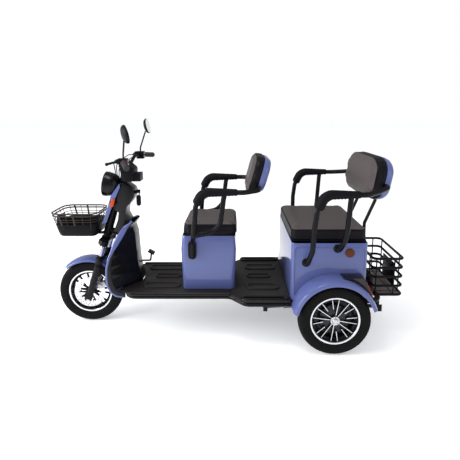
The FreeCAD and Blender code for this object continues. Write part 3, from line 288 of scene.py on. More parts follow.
def merge(name, items):
    """Joins several mesh objects into one mesh."""
    bm = bmesh.new()
    for item in items:
        bm.from_mesh(item.data)
        bpy.data.objects.remove(item)
    mesh = bpy.data.meshes.new(name)
    bm.to_mesh(mesh)
    bm.free()
    shade(mesh)
    return link(name, mesh)


# Materials: sockets as Python values

class Value:
    """A shader socket that takes part in Python arithmetic; each operator adds a Math node."""

    def __init__(self, finish, socket):
        self.finish = finish
        self.socket = socket

    def math(self, operation, *values):
        inputs = {index: value for index, value in enumerate(values)}
        return self.finish.node("ShaderNodeMath", {"operation": operation}, inputs)["Value"]

    def __add__(self, other):
        return self.math("ADD", self, other)

    __radd__ = __add__

    def __sub__(self, other):
        return self.math("SUBTRACT", self, other)

    def __rsub__(self, other):
        return self.math("SUBTRACT", other, self)

    def __mul__(self, other):
        return self.math("MULTIPLY", self, other)

    __rmul__ = __mul__

    def __pow__(self, other):
        return self.math("POWER", self, other)

    def sine(self):
        return self.math("SINE", self)

    def step(self, low, high):
        """Rises smoothly from 0 at low to 1 at high."""
        settings = {"interpolation_type": "SMOOTHSTEP"}
        inputs = {"Value": self, "From Min": low, "From Max": high}
        return self.finish.node("ShaderNodeMapRange", settings, inputs)["Result"]


class Outputs:
    """The outputs of one node, by name."""

    def __init__(self, finish, made):
        self.finish = finish
        self.made = made

    def __getitem__(self, name):
        return Value(self.finish, self.made.outputs[name])


class Finish:
    """One material: a Principled surface and whatever feeds it."""

    def __init__(self, name):
        self.material = bpy.data.materials.new(name)
        self.material.use_nodes = True
        self.tree = self.material.node_tree
        self.tree.nodes.clear()
        self.output = self.tree.nodes.new("ShaderNodeOutputMaterial")
        self.spot = self.node("ShaderNodeTexCoord")["Object"]

    def node(self, kind, settings=None, inputs=None):
        """Adds a node; its settings come first, then the values and links of its sockets."""
        made = self.tree.nodes.new(kind)
        for name, setting in (settings or {}).items():
            if name == "stops":
                for place, (where, color) in enumerate(setting):
                    stops = made.color_ramp.elements
                    stop = stops[place] if place < len(stops) else stops.new(where)
                    stop.position = where
                    stop.color = color
            else:
                setattr(made, name, setting)
        for name, value in (inputs or {}).items():
            if isinstance(value, Value):
                self.tree.links.new(value.socket, made.inputs[name])
            else:
                made.inputs[name].default_value = value
        return Outputs(self, made)

    def noise(self, scale, detail=3.0, roughness=0.5, at=None):
        """Cloudy noise from 0 to 1; scale counts features in a metre."""
        inputs = {"Vector": at or self.spot, "Scale": scale, "Detail": detail, "Roughness": roughness}
        return self.node("ShaderNodeTexNoise", None, inputs)["Fac"]

    def cells(self, scale, feature="F1", randomness=1.0, at=None):
        """Distance to the nearest cell point or border."""
        inputs = {"Vector": at or self.spot, "Scale": scale, "Randomness": randomness}
        return self.node("ShaderNodeTexVoronoi", {"feature": feature}, inputs)["Distance"]

    def stretched(self, scale):
        """Object coordinates scaled differently along X, Y and Z."""
        return self.node("ShaderNodeMapping", None, {"Vector": self.spot, "Scale": scale})["Vector"]

    def part(self, axis):
        """One object coordinate, in metres."""
        return self.node("ShaderNodeSeparateXYZ", None, {"Vector": self.spot})[axis]

    def along(self, way):
        """How far a point lies along a direction, in metres."""
        settings = {"operation": "DOT_PRODUCT"}
        return self.node("ShaderNodeVectorMath", settings, {0: self.spot, 1: way})["Value"]

    def blend(self, first, second, share):
        """Mixes two colours."""
        inputs = {"Factor": share, 6: first, 7: second}
        return Value(self, self.node("ShaderNodeMix", {"data_type": "RGBA"}, inputs).made.outputs[2])

    def bump(self, height, distance, strength=1.0, after=None):
        """A normal that follows a height; distance is in millimetres."""
        inputs = {"Height": height, "Distance": distance * MM, "Strength": strength}
        if after is not None:
            inputs["Normal"] = after
        return self.node("ShaderNodeBump", None, inputs)["Normal"]

    def surface(self, color, roughness, normal=None, **more):
        """Ends the material in a Principled surface."""
        inputs = {"Base Color": color, "Roughness": roughness}
        if normal is not None:
            inputs["Normal"] = normal
        for name, value in more.items():
            inputs[name.replace("_", " ")] = value
        made = self.node("ShaderNodeBsdfPrincipled", None, inputs)
        self.tree.links.new(made["BSDF"].socket, self.output.inputs["Surface"])
        return self.material


def solid(color):
    """A colour with its alpha."""
    return (*color[:3], 1.0)


def darker(color, share):
    return (*(part * share for part in color[:3]), 1.0)


def gloss_paint(name, color, coat=0.7):
    """Glossy moulded panels: a clear coat over paint that varies a little and ripples faintly."""
    finish = Finish(name)
    cloud = finish.noise(5.0, 2.0)
    grit = finish.noise(900.0, 2.0)
    tone = finish.blend(darker(color, 0.93), darker(color, 1.06), cloud)
    ripple = finish.bump(finish.noise(70.0, 1.0), 0.12, 0.5)
    rough = cloud * 0.06 + grit * 0.05 + 0.24
    return finish.surface(tone, rough, ripple, Coat_Weight=coat, Coat_Roughness=0.06, Coat_IOR=1.5,
                          Specular_IOR_Level=0.12)


def black_coat(name, color, rough=0.33, pits=0.05):
    """Powder-coated metal: a fine orange-peel skin, a little duller in patches."""
    finish = Finish(name)
    cloud = finish.noise(9.0, 3.0)
    peel = finish.noise(420.0, 2.0)
    tone = finish.blend(darker(color, 0.8), darker(color, 1.35), cloud)
    skin = finish.bump(peel, pits, 0.6)
    return finish.surface(tone, cloud * 0.12 + peel * 0.08 + (rough - 0.1), skin, Specular_IOR_Level=0.12)


def grained_plastic(name, color, rough=0.5, grain=1100.0, depth=0.09):
    """Moulded black plastic with a fine leather grain and scuffs."""
    finish = Finish(name)
    cell = finish.cells(grain)
    cloud = finish.noise(14.0, 4.0, 0.6)
    tone = finish.blend(darker(color, 0.8), darker(color, 1.5), cloud)
    skin = finish.bump(cell, depth, 0.7)
    return finish.surface(tone, cloud * 0.16 + cell * 0.1 + (rough - 0.12), skin, Specular_IOR_Level=0.08)


def tyre_rubber(name, color):
    """Rubber with dust on the tread and faint moulding rings on the sidewall."""
    finish = Finish(name)
    dust = finish.noise(30.0, 5.0, 0.65)
    pores = finish.noise(1300.0, 2.0)
    tone = finish.blend(darker(color, 0.75), darker(color, 2.1), dust.step(0.5, 0.85))
    skin = finish.bump(pores, 0.08, 0.5)
    return finish.surface(tone, dust * 0.2 + 0.58, skin, Specular_IOR_Level=0.08)


def metal(name, color, rough, grain=(60.0, 60.0, 900.0), depth=0.01, painted_reflection_glow=0.0):
    """Machined or polished metal with fine tool marks along one direction; painted_reflection_glow sets a
    white emission that paints in a bright reflection.
    """
    finish = Finish(name)
    marks = finish.noise(1.0, 3.0, 0.6, at=finish.stretched(grain))
    cloud = finish.noise(25.0, 3.0)
    tone = finish.blend(darker(color, 0.86), darker(color, 1.05), cloud)
    skin = finish.bump(marks, depth, 0.5)
    return finish.surface(tone, marks * 0.14 + cloud * 0.08 + (rough - 0.08), skin, Metallic=1.0,
                          Emission_Color=(1.0, 1.0, 1.0, 1.0), Emission_Strength=painted_reflection_glow)


def turned_metal(name, color, rough, centre):
    """Metal that was turned on a lathe: rings about an axle that runs along Y."""
    finish = Finish(name)
    across = finish.part("X") - centre[0]
    up = finish.part("Z") - centre[2]
    radius = (across * across + up * up) ** 0.5
    rings = (radius * 9000.0).sine() * 0.5 + 0.5
    cloud = finish.noise(40.0, 3.0)
    tone = finish.blend(darker(color, 0.8), darker(color, 1.05), cloud * 0.6 + rings * 0.4)
    skin = finish.bump(rings, 0.01, 0.4)
    return finish.surface(tone, rings * 0.12 + cloud * 0.1 + (rough - 0.1), skin, Metallic=1.0)


def seat_vinyl(name, glare_color, side_color, way, edge, soft):
    """Grained vinyl in two tones: past edge along a direction it is painted a lighter taupe that stands for
    warm glare on the black vinyl, and the band round it keeps the vinyl's own colour.
    """
    finish = Finish(name)
    cell = finish.cells(520.0, "DISTANCE_TO_EDGE")
    wrinkle = finish.noise(38.0, 4.0, 0.55)
    pores = finish.noise(1500.0, 2.0)
    cloud = finish.noise(7.0, 2.0)
    # share of the painted glare: rises past edge along the direction
    panel = finish.along(way).step(edge - soft, edge + soft)
    band = finish.blend(darker(side_color, 0.85), darker(side_color, 1.25), cloud)
    # the black vinyl painted a lighter taupe for warm glare
    sheet = finish.blend(darker(glare_color, 0.9), darker(glare_color, 1.12), cloud)
    tone = finish.blend(band, sheet, panel)
    creases = finish.bump(wrinkle, 0.5, 0.35)
    grain = finish.bump(cell * 0.7 + pores * 0.3, 0.09, 0.65, after=creases)
    rough = cloud * 0.1 + cell * 0.3 + 0.38
    return finish.surface(tone, rough, grain, Specular_IOR_Level=0.1)


def lens(name, color, ribs=420.0, rough=0.08, glow=0.0):
    """A coloured lamp lens with vertical flutes moulded inside; glow sets a faint emission, which is lamp
    light on the lamp lenses and painted glow on parts that are no lamps.
    """
    finish = Finish(name)
    flutes = (finish.part("Y") * ribs).sine() * (finish.part("Z") * ribs).sine() * 0.5 + 0.5
    tone = finish.blend(darker(color, 0.55), darker(color, 1.25), flutes)
    skin = finish.bump(flutes, 0.5, 0.5)
    return finish.surface(tone, rough, skin, Coat_Weight=0.2, Coat_Roughness=0.05, Specular_IOR_Level=0.1,
                          Emission_Color=solid(color), Emission_Strength=glow)


def clear_glass(name, tint, alpha):
    """Thin clear cover glass."""
    finish = Finish(name)
    haze = finish.noise(12.0, 3.0)
    return finish.surface(solid(tint), haze * 0.04 + 0.02, None, Alpha=alpha, Coat_Weight=1.0,
                          Coat_Roughness=0.02)


def floor_plate(name, color):
    """The textured black coat of the footboards, with shoe scuffs."""
    finish = Finish(name)
    pebble = finish.cells(700.0)
    scuff = finish.noise(11.0, 6.0, 0.7)
    streak = finish.noise(1.0, 4.0, 0.6, at=finish.stretched((5.0, 40.0, 40.0)))
    tone = finish.blend(darker(color, 0.85), darker(color, 1.8), scuff.step(0.45, 0.8) * 0.6 + streak * 0.4)
    skin = finish.bump(pebble, 0.14, 0.6)
    return finish.surface(tone, scuff * 0.18 + pebble * 0.1 + 0.34, skin, Specular_IOR_Level=0.2)


# Settings that a user would change

def paint(name, description, color):
    return bpy.props.FloatVectorProperty(name=name, description=description, subtype="COLOR", size=3,
                                         default=color, min=0, max=1)


def count(name, description, default, low, high):
    return bpy.props.IntProperty(name=name, description=description, default=default, min=low, max=high)


def length(name, description, default, low, high):
    return bpy.props.FloatProperty(name=name, description=description, default=default, min=low, max=high,
                                   unit="LENGTH")


class PaintSettings(bpy.types.PropertyGroup):
    panel: paint("Panel paint", "Colour of the glossy panels", (0.08, 0.102, 0.262))
    metal: paint("Black coat", "Colour of the coated tubes", (0.0045, 0.0045, 0.0055))
    plastic: paint("Black plastic", "Colour of the grained mouldings", (0.004, 0.004, 0.0055))
    # the seats' taupe top colour is painted warm glare that the black vinyl shows on the seats' tops and the
    # backrests' faces
    seat_top_glare: paint("Seat panels", "Colour of the seats' top panels", (0.066, 0.055, 0.055))
    seat_side: paint("Seat bands", "Colour of the bands round the seats", (0.005, 0.0045, 0.0065))
    amber: paint("Amber", "Colour of the turn lamps", (0.42, 0.05, 0.012))


class WheelSettings(bpy.types.PropertyGroup):
    rib_count: count("Ribs", "Ribs in a cast wheel, a multiple of four", 16, 8, 32)
    sipe_count: count("Sipes", "Cross cuts round a tyre", 56, 12, 90)
    hole_count: count("Disc holes", "Holes in each ring of the brake disc", 24, 6, 48)


class SeatSettings(bpy.types.PropertyGroup):
    voxel: length("Cloth cell", "Cell of the remeshed cushions", 0.007, 0.004, 0.02)
    pressure: bpy.props.FloatProperty(
        name="Pressure", description="Air pressure that swells the cushions", default=4.0, min=0.5, max=12)
    swell: length("Swell", "Farthest that a point of a cushion may move", 0.009, 0.0, 0.03)


class WireSettings(bpy.types.PropertyGroup):
    front_wire: length("Front wire", "Thickness of the front basket's wires", 0.0042, 0.002, 0.01)
    rear_wire: length("Rear wire", "Thickness of the rear basket's rings", 0.016, 0.003, 0.02)


class StageSettings(bpy.types.PropertyGroup):
    focal: bpy.props.FloatProperty(
        name="Lens", description="Focal length of the photograph's camera", default=31.304, min=10, max=200,
        unit="CAMERA")
    tilt: bpy.props.FloatProperty(
        name="Tilt", description="How far the camera looks down", default=math.radians(9.72), min=0,
        max=math.radians(60), subtype="ANGLE")


def paint_settings():
    return bpy.context.scene.trike_paint


finish_cache = {}


def shared(name, make, *values):
    """Makes a material once and hands it out again after that."""
    if name not in finish_cache:
        finish_cache[name] = make(name, *values)
    return finish_cache[name]


def panel_paint():
    return shared("Panel_paint", gloss_paint, solid(paint_settings().panel))


def tube_coat():
    return shared("Tube_coat", black_coat, solid(paint_settings().metal), 0.26)


def cast_black():
    return shared("Cast_black", black_coat, solid(paint_settings().metal), 0.42, 0.12)


def black_plastic():
    return shared("Black_plastic", grained_plastic, solid(paint_settings().plastic), 0.42)


def soft_rubber():
    return shared("Soft_rubber", grained_plastic, darker(paint_settings().plastic, 1.1), 0.6, 700.0, 0.16)


def grip_rubber():
    return shared("Grip_rubber", grained_plastic, (0.034, 0.034, 0.036, 1.0), 0.6, 700.0, 0.16)


def gloss_black():
    return shared("Gloss_black", gloss_paint, (0.003, 0.003, 0.004, 1.0), 0.2)


def bright_metal():
    return shared("Bright_metal", metal, (0.72, 0.73, 0.76, 1.0), 0.2)


def dull_metal():
    return shared("Dull_metal", metal, (0.42, 0.42, 0.44, 1.0), 0.38)


# Wheels

WHEELS = (
    # body, tyre node, rim node, side that the rib faces look to, whether the ribs are machined bright
    ("front_wheel", "front_tyre", "front_rim", 1, False),
    ("rear_wheel_left", "rear_tyre_left", "rear_rim_left", 1, True),
    ("rear_wheel_right", "rear_tyre_right", "rear_rim_right", -1, True),
)
DRUM_FINS = 24
WHEEL_NUTS = 5
CARRIER_ARMS = 6


def tyre_profile():
    """Half a tyre from the bead to the middle of the tread, as (across, radius)."""
    half = [(26, 131.8), (28.8, 141.8), (34.5, 141.8), (36.5, 144), (37.2, 148), (39.4, 153), (40.2, 153.6),
            (40.6, 157), (40.2, 157.6), (41.6, 166), (42, 174), (41.4, 183), (40.0, 188.5), (40.4, 189.5),
            (39.2, 192.5), (36, 197), (30, 201.3), (22, 204.3), (14.5, 205.7), (13.6, 202.6), (10.4, 202.9),
            (9.5, 206.2), (4, 206.5)]
    return half + [(-across, radius) for across, radius in reversed(half)]


class TRICYCLE_OT_tyres(bpy.types.Operator):
    """Three road tyres with cross cuts in the shoulders"""
    bl_idname = "tricycle.tyres"
    bl_label = "Tyres"

    def execute(self, context):
        sipes = context.scene.trike_wheels.sipe_count
        steps = sipes * 3
        for body, tyre, _, _, _ in WHEELS:
            middle = node_middle(tyre)
            bm = bmesh.new()
            lathe(bm, tyre_profile(), middle, steps=steps)
            for vert in bm.verts:
                arm = vert.co - middle
                across, radius = abs(arm.y), math.hypot(arm.x, arm.z)
                if not 17 < across < 39.5 or radius < 190:
                    continue
                lead = across * 0.006
                place = (math.atan2(arm.z, arm.x) + lead) / (2 * math.pi) * steps
                if round(place) % 3 == 0:
                    cut = (radius - 2.6) / radius
                    vert.co = middle + Vector((arm.x * cut, arm.y, arm.z * cut))
            item = from_bmesh(tyre + "_tread", bm, angle=math.radians(24))
            rubber = shared("Tyre_rubber", tyre_rubber, (0.006, 0.006, 0.0065, 1.0))
            settle(item, body, rubber, [tyre])
        return {"FINISHED"}


def rib_shape(bm, middle, side, angle, inner, outer, width, depth_in, depth_out):
    """One tapered rib of a cast wheel, from near the hub to the rim."""
    way, across = about_axle(angle), about_axle(angle + math.pi / 2)
    for vert in block(bm, (-1, -1, -1), (1, 1, 1)):
        far = vert.co.z > 0
        radius = outer if far else inner
        half = width / 2 * (0.8 if far else 1.0)
        top = depth_out if far else depth_in
        rise = top if vert.co.y > 0 else top - 11
        flare = 1.0 if vert.co.y > 0 else 1.7
        vert.co = (middle + way * radius + across * (half * flare * (1 if vert.co.x > 0 else -1))
                   + Vector((0, side * rise, 0)))


class TRICYCLE_OT_rims(bpy.types.Operator):
    """Cast wheels: black barrel and hub, bright lip, long and short ribs"""
    bl_idname = "tricycle.rims"
    bl_label = "Rims"

    def execute(self, context):
        count = context.scene.trike_wheels.rib_count
        gloss = shared("Rim_black", black_coat, (0.008, 0.008, 0.009, 1.0), 0.2, 0.02)
        for body, _, rim, side, bright in WHEELS:
            middle = node_middle(rim)
            middle.y = node_middle(rim.replace("rim", "tyre")).y
            bm = bmesh.new()
            barrel = [(33, 141), (29, 141), (26, 131), (12, 129), (8, 120), (-8, 120), (-12, 129), (-26, 131),
                      (-29, 141), (-33, 141), (-33, 134), (-30, 126.5), (-15, 124), (-10, 115), (10, 115),
                      (15, 124), (30, 126.5), (33, 134)]
            lathe(bm, barrel, middle, steps=96)
            hub = [(-36, 12.3), (-36, 26), (-20, 29), (14, 29), (22, 27), (26, 24), (27, 12.3)]
            lathe(bm, [(side * along, radius) for along, radius in hub], middle, steps=48)
            webs = bmesh.new()
            for number in range(count):
                angle = (number + 0.5) * 2 * math.pi / count
                short = number % 4 in (2, 3)
                lean = 0.045 if number % 2 else -0.045
                inner = 66 if short else 25
                thick = 6.4 if bright else 9.0
                rib_shape(bm, middle, side, angle + lean, inner, 127, thick, 21 if short else 23, 27.5)
                rib_shape(webs, middle, side, angle + lean, inner + 1.5, 126.5, thick - 2.2,
                          21.6 if short else 23.6, 28.1)
            corners = [edge for edge in bm.edges if edge.is_manifold
                       and edge.calc_face_angle(0) > 1.0 and edge.calc_length() > 20]
            bmesh.ops.bevel(bm, geom=corners, offset=0.8, segments=1, profile=0.5,
                             affect="EDGES", material=-1)
            settle(from_bmesh(rim + "_casting", bm), body, gloss, [rim])
            faces = from_bmesh(rim + "_rib_faces", webs)
            face_finish = bright_metal() if bright else gloss
            settle(faces, body, face_finish, bevel=0.3)

            bm = bmesh.new()
            lip = [(33.1, 141.2), (34.4, 140.2), (34.7, 136.4), (33.9, 132.6), (31.8, 130.6), (30.4, 131),
                   (32.2, 133.4), (33.0, 137)]
            for way in (1, -1):
                lathe(bm, [(way * along, radius) for along, radius in lip], middle, steps=96)
            rings = from_bmesh(rim + "_lip", bm)
            rings_finish = shared(rim + "_turned", turned_metal, (0.74, 0.75, 0.78, 1.0), 0.2, middle * MM)
            settle(rings, body, rings_finish)
        return {"FINISHED"}


class TRICYCLE_OT_hubs(bpy.types.Operator):
    """Hub caps with their nuts, brake drums behind the ribs, tyre valves and the drilled front disc"""
    bl_idname = "tricycle.hubs"
    bl_label = "Hubs and disc"

    def execute(self, context):
        for body, _, rim, side, bright in WHEELS:
            middle = node_middle(rim.replace("rim", "tyre"))
            bm = bmesh.new()
            if bright:
                cap = [(24, 0.01), (24, 27), (29, 27), (31.5, 25.5), (32, 22), (31, 17), (34, 16), (38, 13.5),
                       (39.5, 9), (40, 0.01)]
                lathe(bm, [(side * along, radius) for along, radius in cap], middle, steps=48)
                for number in range(WHEEL_NUTS):
                    spot = middle + about_axle(number * 2 * math.pi / WHEEL_NUTS + 0.3) * 21.5
                    drum(bm, spot + Vector((0, side * 30, 0)), spot + Vector((0, side * 35, 0)), 3.4, sides=6)
            else:
                drum(bm, middle + Vector((0, 36, 0)), middle + Vector((0, 38.2, 0)), 24)
                drum(bm, middle + Vector((0, -38.2, 0)), middle + Vector((0, -30, 0)), 24)
            cap_metal = shared(rim + "_cap_metal", turned_metal, (0.6, 0.61, 0.63, 1.0), 0.28, middle * MM)
            settle(from_bmesh(rim + "_cap", bm), body, cap_metal, bevel=0.4)

            bm = bmesh.new()
            stem = middle + Vector((0, side * 12, -121))
            drum(bm, stem, stem + Vector((0, side * 14, 16)), 3.2, 2.6, sides=12)
            drum(bm, stem + Vector((0, side * 13, 15)), stem + Vector((0, side * 18, 20.6)), 3.6, sides=12)
            settle(from_bmesh(rim + "_valve", bm), body, soft_rubber())

            if not bright:
                continue
            bm = bmesh.new()
            shell = [(-27, 30), (-27, 84), (-23, 88), (2, 88), (6, 84), (8, 70), (12, 60), (13, 30)]
            lathe(bm, [(side * along, radius) for along, radius in shell], middle, steps=64)
            for number in range(DRUM_FINS):
                way = about_axle(number * 2 * math.pi / DRUM_FINS)
                lift = Vector((0, side * 4, 0))
                drum(bm, middle + way * 62 + lift * 1.6, middle + way * 86 + lift * 0.4, 2.2, sides=8)
            web = [(-24, 80), (-24, 121), (-19, 121), (-17, 100), (-17, 80)]
            lathe(bm, [(side * along, radius) for along, radius in web], middle, steps=64)
            drum_metal = shared(rim + "_drum_metal", turned_metal, (0.045, 0.045, 0.052, 1.0), 0.4,
                                middle * MM)
            settle(from_bmesh(rim.replace("rim", "drum"), bm), body, drum_metal)

        holes = context.scene.trike_wheels.hole_count
        high = node_high("front_disc")
        middle = node_middle("front_tyre")
        plane = high.y - 3.5
        bm = bmesh.new()
        lathe(bm, [(plane - middle.y, 64), (high.y - middle.y, 64), (high.y - middle.y, 100),
                   (plane - middle.y, 100)], middle, steps=96)
        disc = from_bmesh("front_disc_plate", bm)
        bm = bmesh.new()
        for ring, radius in enumerate((72, 82, 92)):
            for number in range(holes):
                way = about_axle((number + ring / 3) * 2 * math.pi / holes)
                spot = Vector((middle.x, plane - 4, middle.z)) + way * radius
                drum(bm, spot, spot + Vector((0, 12, 0)), 3.1, sides=12)
        cutter = from_bmesh("Disc_drill", bm)
        drill = disc.modifiers.new("Holes", "BOOLEAN")
        drill.object = cutter
        drill.solver = "EXACT"
        bake_modifiers(disc)
        bpy.data.objects.remove(cutter)
        shade(disc.data)
        steel = shared("Disc_steel", turned_metal, (0.66, 0.66, 0.68, 1.0), 0.26, middle * MM)
        settle(disc, "front_wheel", steel, ["front_disc"])
        bm = bmesh.new()
        start = Vector((middle.x, plane + 0.6, middle.z))
        for number in range(CARRIER_ARMS):
            way = about_axle(number * 2 * math.pi / CARRIER_ARMS)
            drum(bm, start + way * 22, start + way * 68, 7, 4.5, sides=12)
            bolt = start + way * 66
            drum(bm, bolt, bolt + Vector((0, 5, 0)), 4.2, sides=6)
        lathe(bm, [(plane - middle.y - 2, 9), (plane - middle.y - 2, 27), (high.y - middle.y, 27),
                   (high.y - middle.y, 9)], middle, steps=48)
        settle(from_bmesh("front_disc_carrier", bm), "front_wheel", cast_black(), bevel=0.4)
        return {"FINISHED"}


# Frame, suspension and the rigid nodes that only need soft edges and their finish

BEVELLED = (
    # node, body, slot, finish, bevel in millimetres
    ("front_cowl", "chassis", "lilac_gloss", panel_paint, 1.4),
    ("rear_body", "chassis", "lilac_gloss", panel_paint, 2.2),
    ("front_seat_box", "chassis", "lilac_gloss", panel_paint, 1.8),
    ("column_cover", "chassis", "black_plastic", gloss_black, 3.0),
    ("leg_shield_inner", "chassis", "black_plastic", gloss_black, 0.8),
    ("handlebar_cover", "steering", "black_plastic", black_plastic, 3.0),
    ("brake_pedal", "chassis", "black_metal", tube_coat, 1.0),
    ("front_seat_pan", "front_lid", "black_plastic", black_plastic, 1.5),
    ("rear_seat_pan", "rear_lid", "black_plastic", black_plastic, 1.5),
    ("head_tube", "chassis", "black_metal", tube_coat, 0.8),
    ("steering_stem", "steering", "black_metal", tube_coat, 0.6),
    ("drive_motor", "chassis", "black_metal", cast_black, 1.6),
    ("battery_pack", "chassis", "battery_case", black_plastic, 2.5),
    ("spring_mounts", "chassis", "black_metal", tube_coat, 0.5),
    ("front_caliper", "steering", "disc_steel", dull_metal, 1.4),
)


class TRICYCLE_OT_shells(bpy.types.Operator):
    """Soft-edged copies of the moulded and cast parts, in their finishes"""
    bl_idname = "tricycle.shells"
    bl_label = "Shells and castings"

    def execute(self, context):
        for node, body, slot, finish, width in BEVELLED:
            settle(copy_of(node, node + "_shell"), body, finish(), [node], bevel=width)
        return {"FINISHED"}


RAIL_HEIGHT = 268.0
RAIL_PATH = [(590, 234), (-40, 234), (-130, 334), (-332, 334), (-410, 290), (-925, 290)]


class TRICYCLE_OT_frame_tubes(bpy.types.Operator):
    """Round side rails, long beams and cross ties under the floors"""
    bl_idname = "tricycle.frame_tubes"
    bl_label = "Frame tubes"

    def execute(self, context):
        near = [(x, y, RAIL_HEIGHT) for x, y in RAIL_PATH]
        loop = near + mirror_y(near)[::-1]
        rails = tubes("frame_rail_tubes", [(loop, 60, True)], 16, 4)
        settle(rails, "chassis", tube_coat(), ["frame_side_rails"])
        ladder = copy_of("frame_ladder", "frame_ladder_bars")
        settle(ladder, "chassis", tube_coat(), ["frame_ladder"])
        return {"FINISHED"}


class TRICYCLE_OT_springs(bpy.types.Operator):
    """Leaf springs with clips, U-bolts and shackle pins over the rear axle"""
    bl_idname = "tricycle.springs"
    bl_label = "Leaf springs"

    def execute(self, context):
        leaves = copy_of("leaf_springs", "leaf_spring_packs")
        steel = shared("Spring_steel", metal, (0.16, 0.16, 0.17, 1.0), 0.45, (900.0, 60.0, 900.0), 0.03)
        settle(leaves, "chassis", steel, ["leaf_springs"], bevel=0.5)
        axle = copy_of("rear_axle", "rear_axle_beam")
        settle(axle, "chassis", cast_black(), ["rear_axle"])
        low, high = node_low("leaf_springs"), node_high("leaf_springs")
        bm = bmesh.new()
        middle = node_middle("rear_tyre_left")
        for side in SIDES:
            for reach in (-26, 26):
                for edge in (high.y - 3, high.y - 52):
                    foot = Vector((middle.x + reach, side * edge, low.z - 2))
                    drum(bm, foot, foot + Vector((0, 0, 30)), 4.2, sides=12)
        settle(from_bmesh("spring_bolts", bm), "chassis", dull_metal(), bevel=0.4)
        return {"FINISHED"}


# Fork, fenders and the steering head

STEER_SLOPE = 0.3153
FRONT_AXLE = (880.0, 206.5)
FORK_LEG = 85.0
LEG_SETBACK = 14
SEAL_REACH = 262


class TRICYCLE_OT_fork(bpy.types.Operator):
    """Telescopic fork: ribbed black lowers with a dust seal and polished stanchions"""
    bl_idname = "tricycle.fork"
    bl_label = "Fork"

    def execute(self, context):
        lowers = copy_of("fork_lowers", "fork_lower_castings")
        settle(lowers, "steering", cast_black(), ["fork_lowers"], bevel=0.6)
        upper = copy_of("fork_stanchions", "fork_upper_tubes")
        polish = shared("Fork_polish", metal, (0.52, 0.52, 0.62, 1.0), 0.16, (60.0, 60.0, 60.0), 0.004)
        settle(upper, "steering", polish, ["fork_stanchions"], bevel=0.4)
        lean = Vector((-STEER_SLOPE, 0, 1)).normalized()
        bm = bmesh.new()
        for side in SIDES:
            top = Vector((FRONT_AXLE[0], side * FORK_LEG, FRONT_AXLE[1])) + lean * SEAL_REACH
            top += Vector((-lean.z, 0, lean.x)) * LEG_SETBACK
            for rise, radius in ((-2, 22.0), (4, 19.4), (8, 20.6), (12, 18.6), (16, 19.6)):
                drum(bm, top + lean * rise, top + lean * (rise + 4), radius, radius - 0.8, sides=32)
            for rise in (-58, -52, -46, -40):
                drum(bm, top + lean * rise, top + lean * (rise + 3), 22.2, sides=32)
        settle(from_bmesh("fork_seals", bm), "steering", soft_rubber(), bevel=0.5)
        return {"FINISHED"}


class TRICYCLE_OT_fenders(bpy.types.Operator):
    """Front mudguard and glossy rear fenders with rolled lips"""
    bl_idname = "tricycle.fenders"
    bl_label = "Fenders"

    def execute(self, context):
        guard = copy_of("front_fender", "front_mudguard")
        settle(guard, "steering", panel_paint(), ["front_fender"], bevel=0.8)
        for node in ("rear_fender_left", "rear_fender_right"):
            shell = copy_of(node, node + "_shell")
            settle(shell, "chassis", panel_paint(), [node], bevel=1.5)
        return {"FINISHED"}


# Handlebar and what it carries

BAR_PATH = [(600.5, 0, 1036), (606.5, 70, 1040), (598.5, 140, 1078), (564.5, 240, 1078), (520.5, 350, 1064)]
PODS = (574.5, 212.0, 1078.0)
LEVER_TIP = (636.5, 322, 1082)
CABLES = (
    # the route of each control cable on the left
    [(590, 190, 1080), (640, 150, 1086), (668, 90, 1060), (676, 40, 1000), (676, 34, 940)],
    [(588, 196, 1068), (628, 160, 1064), (650, 100, 1030), (664, 46, 980), (668, 30, 935)],
)
MIRRORS = (
    # side, X of the stalk's neck, its height, how far the glass turns in, how far it stands behind the neck
    (1, 537.0, 1208.0, 26.0, -11.0),
    (-1, 560.0, 1230.0, 1.0, -13.0),
)


